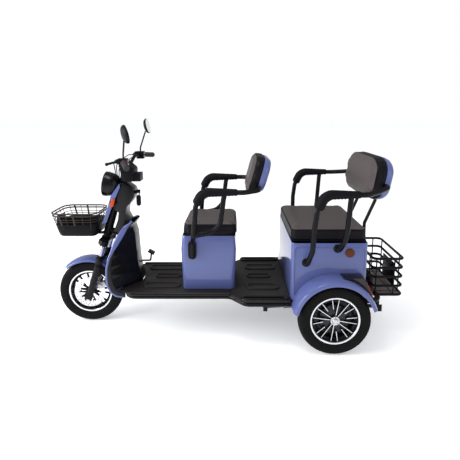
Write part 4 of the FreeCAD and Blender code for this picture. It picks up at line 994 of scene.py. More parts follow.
class TRICYCLE_OT_handlebar(bpy.types.Operator):
    """Round bar, ribbed grips, switch pods, levers and cables"""
    bl_idname = "tricycle.handlebar"
    bl_label = "Handlebar"

    def execute(self, context):
        whole = mirror_y(BAR_PATH[:0:-1]) + BAR_PATH[1:]
        bar = tubes("handlebar_tube", [(whole, 45, False)], 11, 4)
        settle(bar, "steering", tube_coat(), ["handlebar"])

        bm = bmesh.new()
        for side in SIDES:
            inner, outer = Vector(BAR_PATH[3]), Vector(BAR_PATH[4])
            inner.y, outer.y = inner.y * side, outer.y * side
            way = (outer - inner).normalized()
            start = outer - way * 116
            profile = [(0, 11), (0, 19.5), (3, 20.5), (6, 19), (7, 16.2)]
            for ring in range(16):
                along = 9 + ring * 6
                profile += [(along, 16.2), (along + 0.8, 17.0), (along + 3.6, 17.0), (along + 4.4, 16.2)]
            profile += [(107, 16.4), (112, 17.2), (116.5, 16.6), (118.5, 14), (119, 0.01)]
            lathe(bm, profile, start, way, steps=32)
        grips = from_bmesh("grip_sleeves", bm)
        settle(grips, "steering", grip_rubber(), ["handlebar_grips"])

        pods = copy_of("hand_controls", "control_pods")
        settle(pods, "steering", black_plastic(), ["hand_controls"], bevel=2.4)
        bm = bmesh.new()
        amber = bmesh.new()
        for side in SIDES:
            face = PODS[0] - 24
            block(bm, (face - 4, side * PODS[1] - 14, 1084), (face + 2, side * PODS[1] - 2, 1094))
            block(bm, (face - 4, side * PODS[1] - 13, 1064), (face + 2, side * PODS[1] + 13, 1074))
            block(amber, (face - 4.5, side * PODS[1] + 3, 1083), (face + 2, side * PODS[1] + 15, 1094))
        settle(from_bmesh("switch_keys", bm), "steering", dull_metal(), bevel=1.4)
        # the amber switch keys take the lamp lens finish and glow: painted glow
        settle(from_bmesh("switch_amber", amber), "steering", amber_finish(), bevel=1.4)

        runs = []
        knobs = bmesh.new()
        for side in SIDES:
            root, tip = Vector(PODS), Vector(LEVER_TIP)
            root.y, tip.y = root.y * side, tip.y * side
            runs.append(([root, (626.5, side * 218, 1080), tip], 12, False))
            knob = [(-10, 0.01), (-9, 5), (-4, 8.4), (2, 9), (7, 6), (9, 0.01)]
            lathe(knobs, knob, tip, (0, side, 0), steps=24)
            drum(knobs, (600, side * 196, 1090), (600, side * 240, 1090), 13, 12, sides=24)
        bars = merge("brake_lever_bars", [tubes("levers", runs, 7.0, 3), from_bmesh("lever_knobs", knobs)])
        settle(bars, "steering", tube_coat())

        cables = [(route, 40, False) for route in (*CABLES, *map(mirror_y, CABLES))]
        settle(tubes("control_cables", cables, 2.8, 2), "steering", soft_rubber())
        return {"FINISHED"}


class TRICYCLE_OT_mirrors(bpy.types.Operator):
    """Bent stalks, domed black backs and silvered glass"""
    bl_idname = "tricycle.mirrors"
    bl_label = "Mirrors"

    def execute(self, context):
        stalks = []
        bm = bmesh.new()
        glass = bmesh.new()
        for side, neck_x, rise, turn_in, offset in MIRRORS:
            foot = Vector((PODS[0], side * PODS[1], 1102.3))
            neck = Vector((neck_x, side * 318, rise))
            stalks.append(([foot, foot + Vector((0, 0, 24)), neck], 14, False))
            turn = Matrix.Rotation(math.radians(turn_in), 3, "Z") @ Matrix.Rotation(math.radians(12), 3, "Y")
            centre = neck + Vector((offset, side * 6, 38))
            oval = [(64 * math.cos(k * math.pi / 28), 52 * math.sin(k * math.pi / 28)) for k in range(56)]
            dome = ((-6, 1.0), (-4, 1.0), (0, 1.0), (6, 0.95), (11, 0.86), (15, 0.72), (17.6, 0.54),
                    (18.8, 0.36), (19, 0.12))
            skin_rings(bm, [[centre + turn @ Vector((depth, y * share, z * share)) for y, z in oval]
                            for depth, share in dome])
            sheet = [(y * 0.94, z * 0.93) for y, z in oval]
            face = Matrix(((0, 0, 1), (1, 0, 0), (0, 1, 0)))
            plate(glass, sheet, 1.0, turn @ face, centre + turn @ Vector((-6.9, 0, 0)))
        backs = from_bmesh("mirror_backs", bm, angle=math.radians(50))
        stalk = tubes("mirror_stalk_tubes", stalks, 5, 3)
        joined = merge("mirror_housings", [backs, stalk])
        settle(joined, "steering", black_plastic(), ["mirrors"])
        sheet = from_bmesh("mirror_sheets", glass)
        # the silvered glass also glows white: a painted reflection of a bright surround
        silver = shared("Mirror_silver", metal, (0.96, 0.97, 0.98, 1.0), 0.09, (5.0, 5.0, 5.0), 0.0005, 0.4)
        settle(sheet, "steering", silver)
        return {"FINISHED"}


# Leg shield, floors and the body's trim

def amber_finish():
    # its faint glow is lamp light on the turn lamps and painted glow on the amber switch keys
    return shared("Amber_lens", lens, solid(paint_settings().amber), 700.0, 0.1, 0.1)


SHIELD_RIM = (
    # middle of the rolled rim from the top down, and half its breadth
    (575, 80, 689, 3.0), (592, 100, 676, 9.0), (609, 118, 662, 14.0), (633, 159, 618, 18.0),
    (657, 183, 574, 16.0), (673, 197, 538, 10.0), (692, 210, 494, 7.5), (704, 219, 438, 7.0),
    (707, 224, 380, 7.0), (702, 225, 330, 7.0), (684, 223, 288, 7.0), (656, 219, 264, 6.5),
    (622, 217, 255, 5.0), (600, 216, 254, 2.0),
)
FOLD_START = 5


class TRICYCLE_OT_leg_shield(bpy.types.Operator):
    """Glossy leg shield with a soft rim and the crease across its wing"""
    bl_idname = "tricycle.leg_shield"
    bl_label = "Leg shield"

    def execute(self, context):
        shell = copy_of("leg_shield_outer", "leg_shield_skin")
        settle(shell, "chassis", panel_paint(), ["leg_shield_outer"], bevel=1.3)
        rolled = bmesh.new()
        folded = bmesh.new()
        for side in SIDES:
            path = [Vector((x, y * side, z)) for x, y, z, _ in SHIELD_RIM]
            rings, inner = [], []
            for number, (spot, row) in enumerate(zip(path, SHIELD_RIM)):
                way = (path[min(number + 1, len(path) - 1)] - path[max(number - 1, 0)]).normalized()
                across = way.cross(Vector((0, 1, 0))).normalized()
                out = across.cross(way).normalized()
                turns = [k * math.pi / 8 for k in range(16)]
                rings.append([spot + across * (row[3] * math.cos(turn)) + out * (6.5 * math.sin(turn))
                              for turn in turns])
                if number >= FOLD_START:
                    deep = min(17.0, 4.0 + 3.2 * (number - FOLD_START))
                    shift = across * (row[3] + deep * 0.8)
                    if shift.x > 0:
                        shift.negate()
                    foot = spot + shift
                    inner.append([foot + across * (deep * math.cos(turn)) + out * (5.6 * math.sin(turn))
                                  for turn in turns])
            skin_rings(rolled, rings)
            skin_rings(folded, inner)
        rim = from_bmesh("leg_shield_rim", rolled, angle=math.radians(60))
        settle(rim, "chassis", panel_paint())
        fold = from_bmesh("leg_shield_fold", folded, angle=math.radians(60))
        settle(fold, "chassis", gloss_black())
        return {"FINISHED"}


FLOORS = (
    # node, low and high X of the free tread, half width, tread height
    ("front_floor", -40.0, 528.0, 250.0, 290.0),
    ("rear_floor", -388.0, -41.0, 350.0, 290.0),
)
RIBS = {
    # middle X, middle Y, half length, half width, breadth of the ridge
    "front_floor": ((390, 120, 118, 44, 15), (372, -25, 86, 34, 14), (400, -168, 128, 44, 15)),
    "rear_floor": ((-240, 142, 104, 48, 17), (-223, -24, 80, 36, 16), (-240, -176, 108, 48, 17)),
}


class TRICYCLE_OT_floors(bpy.types.Operator):
    """Footboards with pressed ribs, hollow slots in them and screws along the edge"""
    bl_idname = "tricycle.floors"
    bl_label = "Footboards"

    def execute(self, context):
        coat = shared("Floor_coat", floor_plate, (0.0125, 0.0108, 0.0105, 1.0))
        for node, low_x, high_x, half, tread in FLOORS:
            settle(copy_of(node, node + "_board"), "chassis", coat, [node], bevel=1.6)
            bm = bmesh.new()
            for x, y, half_x, half_y, ridge in RIBS[node]:
                rings = []
                steps = ((0, -3.0), (1.2, 4.6), (3.4, 7.0), (ridge - 3.4, 7.0), (ridge - 1.2, 4.6),
                         (ridge, 0.4), (min(half_y - 4, ridge + 14), 0.3))
                for inset, rise in steps:
                    corner = max(half_y * 0.78 - inset, 3)
                    outline = rounded_corners(half_x - inset, half_y - inset, corner, 7)
                    rings.append([(x + dx, y + dy, tread + rise) for dx, dy in outline])
                skin_rings(bm, rings)
            settle(from_bmesh(node + "_ribs", bm), "chassis", coat)
            bm = bmesh.new()
            for x in (low_x + 26, high_x - 26):
                for y in (-half + 30, half - 30):
                    drum(bm, (x, y, tread - 0.5), (x, y, tread + 2.4), 5.5, 4.2, sides=24)
            settle(from_bmesh(node + "_screws", bm), "chassis", black_plastic(), bevel=0.4)
        hoops = []
        for side in SIDES:
            low, high = side * 296, side * 336
            corners = [(-372, low, 293), (-372, high, 293), (-112, high, 293), (-112, low, 293)]
            hoops.append((corners, 19, True))
            hoops.append(([(-36, side * 246, 287), (560, side * 246, 287)], 0, False))
        settle(tubes("floor_rolled_edges", hoops, 10.0, 4), "chassis", gloss_black())
        bm = bmesh.new()
        block(bm, (-392, -318, 280), (-386, 318, 292.5))
        block(bm, (-43, -247, 283), (-38, 247, 290.6))
        settle(from_bmesh("floor_seam_strips", bm), "chassis", soft_rubber(), bevel=1.0)
        return {"FINISHED"}


ARM_BEND = 52.0
BODY_WALL = 320.3
FRONT_ARM = [(190, 206, 500), (188, 206, 590), (172, 276, 665), (158, 276, 835), (116, 276, 915),
             (-120, 276, 915), (-204, 224, 918), (-210, 168, 918)]
FRONT_STRUT = [(-10, 276, 915), (-2, 276, 880), (16, 276, 731), (64, 276, 680), (172, 276, 660)]
REAR_ARM = [(-474, BODY_WALL, 516), (-474, 354, 516), (-494, 397, 610), (-497, 413, 748), (-508, 413, 840),
            (-552, 413, 930), (-775, 413, 930), (-850, 373, 940), (-918, 324, 952), (-918, 270, 952)]
REAR_STRUT = [(-690, 413, 930), (-685, 413, 890), (-677, 413, 748), (-668, 399, 668), (-652, 354, 600),
              (-652, BODY_WALL, 600)]


class TRICYCLE_OT_trim(bpy.types.Operator):
    """Lock, side grooves, tube flanges, reflectors and the lamps on the body"""
    bl_idname = "tricycle.trim"
    bl_label = "Trim and lamps"

    def execute(self, context):
        bm = bmesh.new()
        high = node_high("front_seat_box")
        drum(bm, (high.x - 1, 0, 596), (high.x + 3.2, 0, 596), 9.5, 8.6, sides=32)
        drum(bm, (high.x + 3, 0, 596), (high.x + 4.2, 0, 596), 5.6, sides=32)
        settle(from_bmesh("seat_lock", bm), "chassis", bright_metal(), bevel=0.4)

        bm = bmesh.new()
        for side in SIDES:
            for path in (REAR_ARM[0], REAR_STRUT[-1]):
                foot = Vector((path[0], side * path[1], path[2]))
                lathe(bm, [(0, 12.6), (0, 25), (3.5, 25), (6, 21), (9, 15), (9, 12.6)], foot, (0, side, 0),
                      steps=40)
            for z in (506, 578):
                drum(bm, (190, side * 204, z + 14), (190, side * 209, z + 14), 6.5, sides=6)
        settle(from_bmesh("tube_flanges", bm), "chassis", tube_coat(), bevel=0.5)

        beads = []
        for side in SIDES:
            wall = side * (BODY_WALL - 1.1)
            beads.append(([(-812, wall, 470), (-812, wall, 612), (-406, wall, 612), (-406, wall, 306),
                           (-470, wall, 306)], 26, False))
        settle(tubes("rear_body_beads", beads, 4.4, 2), "chassis", panel_paint())

        reflectors = copy_of("side_reflectors", "side_reflector_discs")
        # the side reflectors glow faintly: painted glow, since they are no lamps
        deep = shared("Deep_amber", lens, (0.09, 0.02, 0.003, 1.0), 620.0, 0.12, 0.02)
        settle(reflectors, "chassis", deep, ["side_reflectors"], bevel=1.2)
        lamps = copy_of("turn_lamps", "turn_lamp_lenses")
        settle(lamps, "chassis", amber_finish(), ["turn_lamps"], bevel=2.4)
        tail = copy_of("tail_lamps", "tail_lamp_housings")
        smoke = shared("Smoked_gloss", gloss_paint, (0.0045, 0.003, 0.0035, 1.0))
        settle(tail, "chassis", smoke, ["tail_lamps"], bevel=2.0)
        bm = bmesh.new()
        for side in SIDES:
            profile = [(-797, 434), (-800, 434), (-851, 344), (-848, 344)]
            side_prism(bm, profile, *sorted((side * 330, side * 379)))
        red = shared("Red_lens", lens, (0.55, 0.01, 0.008, 1.0), 800.0, 0.1, 0.05)
        settle(from_bmesh("tail_lamp_panes", bm), "chassis", red, bevel=1.2)

        bm = bmesh.new()
        for side in SIDES:
            drum(bm, (694, side * 54, 808), (694, side * 68, 808), 15, 19, sides=24)
        settle(from_bmesh("turn_lamp_stubs", bm), "chassis", soft_rubber(), bevel=0.8)
        return {"FINISHED"}


LAMP_CENTRE = (757, 0, 918)
LAMP_TILT = math.radians(8)


class TRICYCLE_OT_headlamp(bpy.types.Operator):
    """Round headlamp: black bowl with a bead, reflector, bulb and clear glass"""
    bl_idname = "tricycle.headlamp"
    bl_label = "Headlamp"

    def execute(self, context):
        low, high = node_low("headlamp_lens"), node_high("headlamp_lens")
        way = about_axle(LAMP_TILT)
        bowl = [(-99, 0.01), (-99, 18), (-96, 34), (-89, 48), (-77, 60), (-60, 69), (-38, 75), (-12, 77.6),
                (-2, 78), (0, 77), (1, 74), (0, 71), (-4, 70), (-12, 69.6), (-38, 67), (-60, 61), (-75, 53),
                (-86, 42), (-93, 28), (-95, 0.01)]
        bead = [(-20, 77), (-19, 78.4), (-15, 78.6), (-14, 77.4)]
        bm = bmesh.new()
        lathe(bm, bowl, LAMP_CENTRE, way, steps=72)
        lathe(bm, bead, LAMP_CENTRE, way, steps=72)
        shell = from_bmesh("headlamp_bowl", bm, angle=math.radians(50))
        settle(shell, "chassis", gloss_black(), ["headlamp_shell"])
        middle = (low + high) / 2
        cover = copy_of("headlamp_lens", "headlamp_glass")
        glass = shared("Lamp_glass", clear_glass, (0.86, 0.9, 0.94, 1.0), 0.3)
        settle(cover, "chassis", glass, ["headlamp_lens"], bevel=0.4)
        bm = bmesh.new()
        reach = (high.z - low.z) / 2
        lathe(bm, [(-7, reach * 0.94), (-14, reach * 0.6), (-16, reach * 0.2), (-16, 0.01), (-17.5, 0.01),
                   (-17.5, reach * 0.2), (-15.5, reach * 0.62), (-8.5, reach * 0.96)], middle, way, steps=48)
        drum(bm, middle - way * 16, middle - way * 6, 7, 6, sides=24)
        settle(from_bmesh("headlamp_reflector", bm), "chassis", bright_metal())
        return {"FINISHED"}


# Seats

CUSHIONS = (
    # node, body, cushion's corner radius seen from above
    ("front_seat_cushion", "front_lid", 46.0),
    ("rear_seat_cushion", "rear_lid", 42.0),
)
BACK_PADS = (
    # node, side view of the pad, half width, how far the oval corners reach across
    ("front_backrest_pad", ((-128, 874), (-192, 1113), (-256, 1095), (-193, 879)), 184.0, 104.0),
    ("rear_backrest_pad", ((-823, 858), (-868, 1119), (-941, 1106), (-895, 846)), 288.0, 150.0),
)

SEAT_TOP = 710
SEAM_BLUR = 0.0012
CLOTH_FRAMES = 20
CLOTH = {
    "quality": 4, "mass": 0.3, "tension_stiffness": 18, "compression_stiffness": 12, "shear_stiffness": 6,
    "bending_stiffness": 1.2, "use_pressure": True, "vertex_group_mass": "Pinned",
}


def on_surface(item, path, lift):
    """Moves points, in millimetres, to the nearest place on a piece and a little out of it."""
    spots = []
    for spot in path:
        _, near, normal, _ = item.closest_point_on_mesh(Vector(spot) * MM)
        spots.append(near / MM + normal * lift)
    return spots


def swell(item, settings, pinned):
    """Blows a closed cushion up with a short cloth simulation and keeps every point near its start."""
    remesh = item.modifiers.new("Cells", "REMESH")
    remesh.mode = "VOXEL"
    remesh.voxel_size = settings.voxel
    remesh.use_smooth_shade = True
    bake_modifiers(item)
    before = [vert.co.copy() for vert in item.data.vertices]
    group = item.vertex_groups.new(name=CLOTH["vertex_group_mass"])
    group.add([vert.index for vert in item.data.vertices if pinned(vert.co)], 1.0, "REPLACE")
    cloth = item.modifiers.new("Cloth", "CLOTH")
    for name, value in CLOTH.items():
        setattr(cloth.settings, name, value)
    cloth.settings.uniform_pressure_force = settings.pressure
    cloth.settings.effector_weights.gravity = 0.0
    cloth.collision_settings.use_collision = False
    cloth.collision_settings.use_self_collision = False
    scene = bpy.context.scene
    for number in range(1, CLOTH_FRAMES + 1):
        scene.frame_set(number)
    graph = bpy.context.evaluated_depsgraph_get()
    swollen = bpy.data.meshes.new_from_object(item.evaluated_get(graph))
    item.modifiers.clear()
    item.vertex_groups.clear()
    scene.frame_set(1)
    for start, vert in zip(before, swollen.vertices):
        move = vert.co - start
        if move.length > settings.swell:
            vert.co = start + move.normalized() * settings.swell
    item.data = swollen
    smooth = item.modifiers.new("Relax", "SMOOTH")
    smooth.factor = 0.5
    smooth.iterations = 8
    finer = item.modifiers.new("Finer", "SUBSURF")
    finer.levels = 1
    bake_modifiers(item)


class TRICYCLE_OT_cushions(bpy.types.Operator):
    """Swollen seat cushions with piping and a seam; their tops are painted a lighter taupe that stands for
    warm glare on the black vinyl
    """
    bl_idname = "tricycle.cushions"
    bl_label = "Seat cushions"

    def execute(self, context):
        colors = context.scene.trike_paint
        settings = context.scene.trike_seats
        # the taupe top panel is painted glare from above
        vinyl = shared("Seat_vinyl", seat_vinyl, solid(colors.seat_top_glare), solid(colors.seat_side), (0, 0, 1),
                       (SEAT_TOP - 8.5) * MM, SEAM_BLUR)
        for node, body, corner in CUSHIONS:
            low, high = node_low(node), node_high(node)
            middle = (low + high) / 2
            half = (high - low) / 2

            def outline_at(inset, height):
                flat = rounded_corners(half.x - inset, half.y - inset, max(corner - inset, 6), 8)
                return [(middle.x + x, middle.y + y, height) for x, y in flat]

            bm = bmesh.new()
            skin_rings(bm, [outline_at(inset, height) for inset, height in (
                (6, low.z), (3, low.z + 3), (1.5, low.z + 14), (1.2, middle.z), (1.5, high.z - 16),
                (4, high.z - 9), (9, high.z - 5), (18, high.z - 2.5))])
            item = from_bmesh(node + "_cover", bm)
            floor = (low.z + 1.5) * MM
            swell(item, settings, lambda spot: spot.z < floor)
            shade(item.data, math.radians(60))
            settle(item, body, vinyl, [node])
            bead = on_surface(item, outline_at(2.0, high.z - 10.5)[::3], 0.4)
            rim = on_surface(item, outline_at(1.0, low.z + 5)[::3], 0.4)
            piping = tubes(node + "_piping", [(bead, 8, True), (rim, 8, True)], 2.1, 2)
            settle(piping, body, soft_rubber())
        return {"FINISHED"}


class TRICYCLE_OT_backrests(bpy.types.Operator):
    """Swollen backrest pads with piping round the front panel, whose lighter taupe is painted warm glare on
    the black vinyl
    """
    bl_idname = "tricycle.backrests"
    bl_label = "Backrest pads"

    def execute(self, context):
        colors = context.scene.trike_paint
        settings = context.scene.trike_seats
        for node, profile, half, oval in BACK_PADS:
            points = [Vector((x, 0, z)) for x, z in profile]
            up = (points[1] - points[0]).normalized()
            face = Vector((up.z, 0, -up.x))
            deepest = min(point.dot(face) for point in points)
            front = max(point.dot(face) for point in points)
            bottoms, tops = (points[3], points[0]), (points[2], points[1])

            def outline_at(share, inset, grow=0.0):
                """A ring of the pad at a share of its thickness, from its back to its face."""
                low, high = bottoms[0].lerp(bottoms[1], share), tops[0].lerp(tops[1], share)
                middle = (low + high) / 2
                tall = (high - low).length / 2 + grow - inset
                flat = rounded_corners(half + grow - inset, tall, oval - inset, 12, 92 - inset)
                lift = (high - low).normalized()
                return [middle + Vector((0, y, 0)) + lift * z for y, z in flat]

            bm = bmesh.new()
            skin_rings(bm, [outline_at(share, inset) for share, inset in (
                (0.0, 16), (0.05, 7), (0.18, 1.5), (0.5, 0.5), (0.8, 1.5), (0.9, 5), (0.96, 11), (0.99, 22))])
            item = from_bmesh(node + "_cover", bm)
            back_line = (deepest + 14) * MM
            swell(item, settings, lambda spot: spot.dot(face) < back_line)
            shade(item.data, math.radians(60))
            # the taupe front panel is painted glare on the forward face
            vinyl = seat_vinyl(node + "_vinyl", solid(colors.seat_top_glare), solid(colors.seat_side), face,
                               (front - 12) * MM, SEAM_BLUR)
            settle(item, "chassis", vinyl, [node])
            bead = on_surface(item, outline_at(0.9, 3.0)[::3], 0.6)
            piping = tubes(node + "_piping", [(bead, 10, True)], 2.0, 2)
            settle(piping, "chassis", soft_rubber())
            bm = bmesh.new()
            rows = ((-12, 60), (-5, 3), (-5, 0.5), (-2, 0), (14, 2), (26, 6), (34, 13), (38, 24), (40.5, 46))
            skin_rings(bm, [[spot - face * depth for spot in outline_at(0.0, inset, -3.0)]
                            for depth, inset in rows])
            shell = node.replace("pad", "shell")
            cover = from_bmesh(shell + "_cover", bm, angle=math.radians(55))
            settle(cover, "chassis", panel_paint(), [shell])
        return {"FINISHED"}


# Armrests

SLEEVE_STEPS = 46
SLEEVE_SIDES = 20


def sleeve_spine(path, first):
    """The middle line of a padded sleeve: over the bend at a point of an armrest's path and along its top."""
    before, bend, far = (Vector(path[number]) for number in (first - 1, first, first + 1))
    reach = ARM_BEND * math.tan((before - bend).angle(bend - far) / 2) * 0.7
    knots = [before.lerp(bend, 0.12), bend + (before - bend).normalized() * reach,
             bend + (far - bend).normalized() * reach, bend.lerp(far, 0.86)]
    lengths = [0.0]
    for one, two in zip(knots, knots[1:]):
        lengths.append(lengths[-1] + (two - one).length)
    spine = []
    for number in range(SLEEVE_STEPS + 1):
        along = number / SLEEVE_STEPS * lengths[-1]
        span = next(k for k in range(3) if along <= lengths[k + 1] + 1e-6)
        share = (along - lengths[span]) / (lengths[span + 1] - lengths[span])
        spine.append(knots[span].lerp(knots[span + 1], share))
    for _ in range(5):
        smooth = [(a + b * 2 + c) / 4 for a, b, c in zip(spine, spine[1:], spine[2:])]
        spine = [spine[0], *smooth, spine[-1]]
    return spine


def sleeve_rings(spine, side):
    """Round rings about a sleeve's middle line, closed at the ends and lumpy below."""
    rings = []
    out = Vector((0, 1, 0))
    for number, spot in enumerate(spine):
        before, after = spine[max(number - 1, 0)], spine[min(number + 1, SLEEVE_STEPS)]
        up = (after - before).normalized().cross(out).normalized()
        close = min(number, SLEEVE_STEPS - number)
        radius = (17.0, 25.0, 29.0)[min(close, 2)] - 13.0 * max(0.0, number / SLEEVE_STEPS - 0.3)
        lump = 3.6 * abs(math.sin(number * math.pi / 3.1)) if close > 1 else 0.0
        ring = []
        for step in range(SLEEVE_SIDES):
            angle = step * 2 * math.pi / SLEEVE_SIDES
            size = radius - lump * max(0.0, math.sin(angle))
            place = spot + out * (math.cos(angle) * size) + up * (math.sin(angle) * size)
            ring.append((place.x, place.y * side, place.z))
        rings.append(ring)
    return rings


class TRICYCLE_OT_armrests(bpy.types.Operator):
    """Round armrest tubes, their brackets and the lumpy padded sleeves"""
    bl_idname = "tricycle.armrests"
    bl_label = "Armrests"

    def execute(self, context):
        runs = []
        for path, bend in ((FRONT_ARM, ARM_BEND), (FRONT_STRUT, 85), (REAR_ARM, ARM_BEND), (REAR_STRUT, 80)):
            runs += [(path, bend, False), (mirror_y(path), bend, False)]
        bars = tubes("armrest_tubes", runs, 15.0, 4)
        bm = bmesh.new()
        for side in SIDES:
            plate(bm, rounded_corners(25, 58, 24, 8), 12, UPRIGHT, (190, side * 198 + 6, 548))
        bars = merge("armrest_bars", [bars, from_bmesh("armrest_plates", bm)])
        settle(bars, "chassis", tube_coat(), ["armrests"])

        bm = bmesh.new()
        for path, bend in ((FRONT_ARM, 4), (REAR_ARM, 5)):
            for side in SIDES:
                skin_rings(bm, sleeve_rings(sleeve_spine(path, bend), side))
        sleeves = from_bmesh("armrest_sleeves", bm, angle=math.radians(50))
        settle(sleeves, "chassis", soft_rubber(), ["armrest_pads"])
        return {"FINISHED"}


# Baskets and the stays of the rear backrest

def basket_ring(x_front, x_back, half, z, corner):
    """A level ring with round corners, for tubes()."""
    return ([(x_front, half, z), (x_back, half, z), (x_back, -half, z), (x_front, -half, z)], corner, True)


# Front and back X, half width, height and corner of the front basket
BASKET_RIM = (1072, 781, 129, 749, 62)
BASKET_FLOOR = (1022, 792, 118, 604, 34)


class TRICYCLE_OT_front_basket(bpy.types.Operator):
    """Round-cornered basket of bronze wires over a black tray"""
    bl_idname = "tricycle.front_basket"
    bl_label = "Front basket"

    def execute(self, context):
        wires = context.scene.trike_wires.front_wire / MM / 2

        def at(share):
            return [low + (top - low) * share for low, top in zip(BASKET_FLOOR, BASKET_RIM)]

        rim = tubes("front_basket_rim", [basket_ring(*at(1.0)), basket_ring(*at(0.9))], 4.6, 2)
        hoops = tubes("front_basket_hoops", [basket_ring(*at(0.74)), basket_ring(*at(0.64))], wires, 2)
        posts = []
        bars = bmesh.new()
        for side in SIDES:
            for along in (0.12, 0.3, 0.5, 0.66, 0.8, 0.92):
                ends = []
                for share in (0.3, 0.97):
                    front, back, half, z, _ = at(share)
                    ends.append(Vector((back + (front - back) * along, side * half, z)))
                posts.append((ends, 0, False))
                if along in (0.5, 0.8):
                    for vert in block(bars, (-5, -2, -0.5), (5, 2, 0.5)):
                        end = ends[1] if vert.co.z > 0 else ends[0]
                        vert.co = end + Vector((vert.co.x, vert.co.y, 0))
        for front_side in (0, 1):
            for along in (-0.55, -0.2, 0.2, 0.55):
                ends = []
                for share in (0.3, 0.97):
                    rank = at(share)
                    ends.append(Vector((rank[front_side], rank[2] * along, rank[3])))
                posts.append((ends, 0, False))
        uprights = tubes("front_basket_uprights", posts, wires * 0.85, 1)
        straps = from_bmesh("front_basket_straps", bars)
        joined = merge("front_basket_mesh", [rim, hoops, uprights, straps])
        bronze = shared("Bronze_wire", black_coat, (0.03, 0.025, 0.022, 1.0), 0.36)
        settle(joined, "chassis", bronze, ["front_basket"])

        bm = bmesh.new()
        rings = []
        wall = ((0.0, -16.0), (0.015, -6.0), (0.06, -0.5), (0.2, 2.0), (0.5, 2.0), (0.53, 0.5), (0.5, -2.0),
                (0.1, -3.0), (0.05, -8.0))
        for share, draw in wall:
            front, back, half, z, corner = at(share)
            middle = (front + back) / 2
            outline = rounded_corners((front - back) / 2 + draw, half + draw, corner + draw, 8)
            rings.append([(middle + x, y, z) for x, y in outline])
        skin_rings(bm, rings)
        front = at(0.62)[0]
        block(bm, (front - 4, -58, 632), (front + 1, 58, 716))
        settle(from_bmesh("front_basket_tray", bm), "chassis", black_plastic(), bevel=0.8)
        return {"FINISHED"}


class TRICYCLE_OT_rear_basket(bpy.types.Operator):
    """Open rear basket of round black rings with a taupe sheet low inside"""
    bl_idname = "tricycle.rear_basket"
    bl_label = "Rear basket"

    def execute(self, context):
        ring = context.scene.trike_wires.rear_wire / MM / 2
        front, back, half = -902.5, -1094 + ring, 210 - ring
        low, high = 263.5, 492.5
        paths = [basket_ring(front, back, half, low + number * (high - low) / 4, 30) for number in range(5)]
        thin = []
        for y in (-150, 150):
            thin.append(([(front + 3, y, 490), (front + 3, y, 262), (back + 6, y, 262), (back + 6, y, 490)],
                         14, False))
        for x in (front - 22, back + 52):
            thin.append(([(x, -half + 5, 490), (x, -half + 5, 262), (x, half - 5, 262), (x, half - 5, 490)],
                         14, False))
        rings = tubes("rear_basket_rings", paths, ring, 3)
        bars = tubes("rear_basket_bars", thin, 4.2, 2)
        joined = merge("rear_basket_mesh", [rings, bars])
        settle(joined, "chassis", tube_coat(), ["rear_basket"])
        bm = bmesh.new()
        block(bm, (back + 10, -half + 8, 262), (front - 8, half - 8, 264.5))
        block(bm, (front - 10, -half + 8, 264), (front - 7.5, half - 8, 372))
        sheet = from_bmesh("rear_basket_sheets", bm)
        taupe = shared("Taupe_sheet", grained_plastic, darker(context.scene.trike_paint.seat_top_glare, 1.9), 0.6)
        settle(sheet, "chassis", taupe, bevel=0.6)
        bm = bmesh.new()
        block(bm, (back + ring + 1, -96, 270), (back + ring + 5, 96, 424))
        block(bm, (back + ring + 4, -70, 300), (back + ring + 9, 70, 392))
        settle(from_bmesh("rear_basket_board", bm), "chassis", black_plastic(), bevel=1.4)
        return {"FINISHED"}


class TRICYCLE_OT_stays(bpy.types.Operator):
    """Round stays behind the rear backrest"""
    bl_idname = "tricycle.stays"
    bl_label = "Backrest stays"

    def execute(self, context):
        stays = copy_of("rear_stays", "rear_stay_tubes")
        settle(stays, "chassis", tube_coat(), ["rear_stays"])
        key = copy_of("ignition_key", "ignition_key_set")
        settle(key, "chassis", black_plastic(), ["ignition_key"], bevel=1.0)
        return {"FINISHED"}


# Stage, in metres

FLOOR_HALF = 60
LAMPS = (
    # name, place, target, width, height, power
    ("Overhead", (0.6, 0.7, 3.8), (0, 0, 0.4), 1.6, 1.0, 42.0),
    ("Ahead", (3.6, 1.0, 1.8), (-0.3, 0, 0.5), 2.8, 2.4, 190.0),
    ("Behind", (-3.2, 2.4, 1.8), (-0.5, 0, 0.5), 2.6, 2.6, 22.0),
)
SKY = (
    # strength, kind of ray that sees it, every kind at first
    (0.88, None),
    (0.42, "Is Glossy Ray"),
    (1.0, "Is Camera Ray"),
)
CAMERA_PLACE = (-0.067, 2.497, 1.368)
CAMERA_SHIFT = (-0.01087, -0.1087)
SENSOR = 36


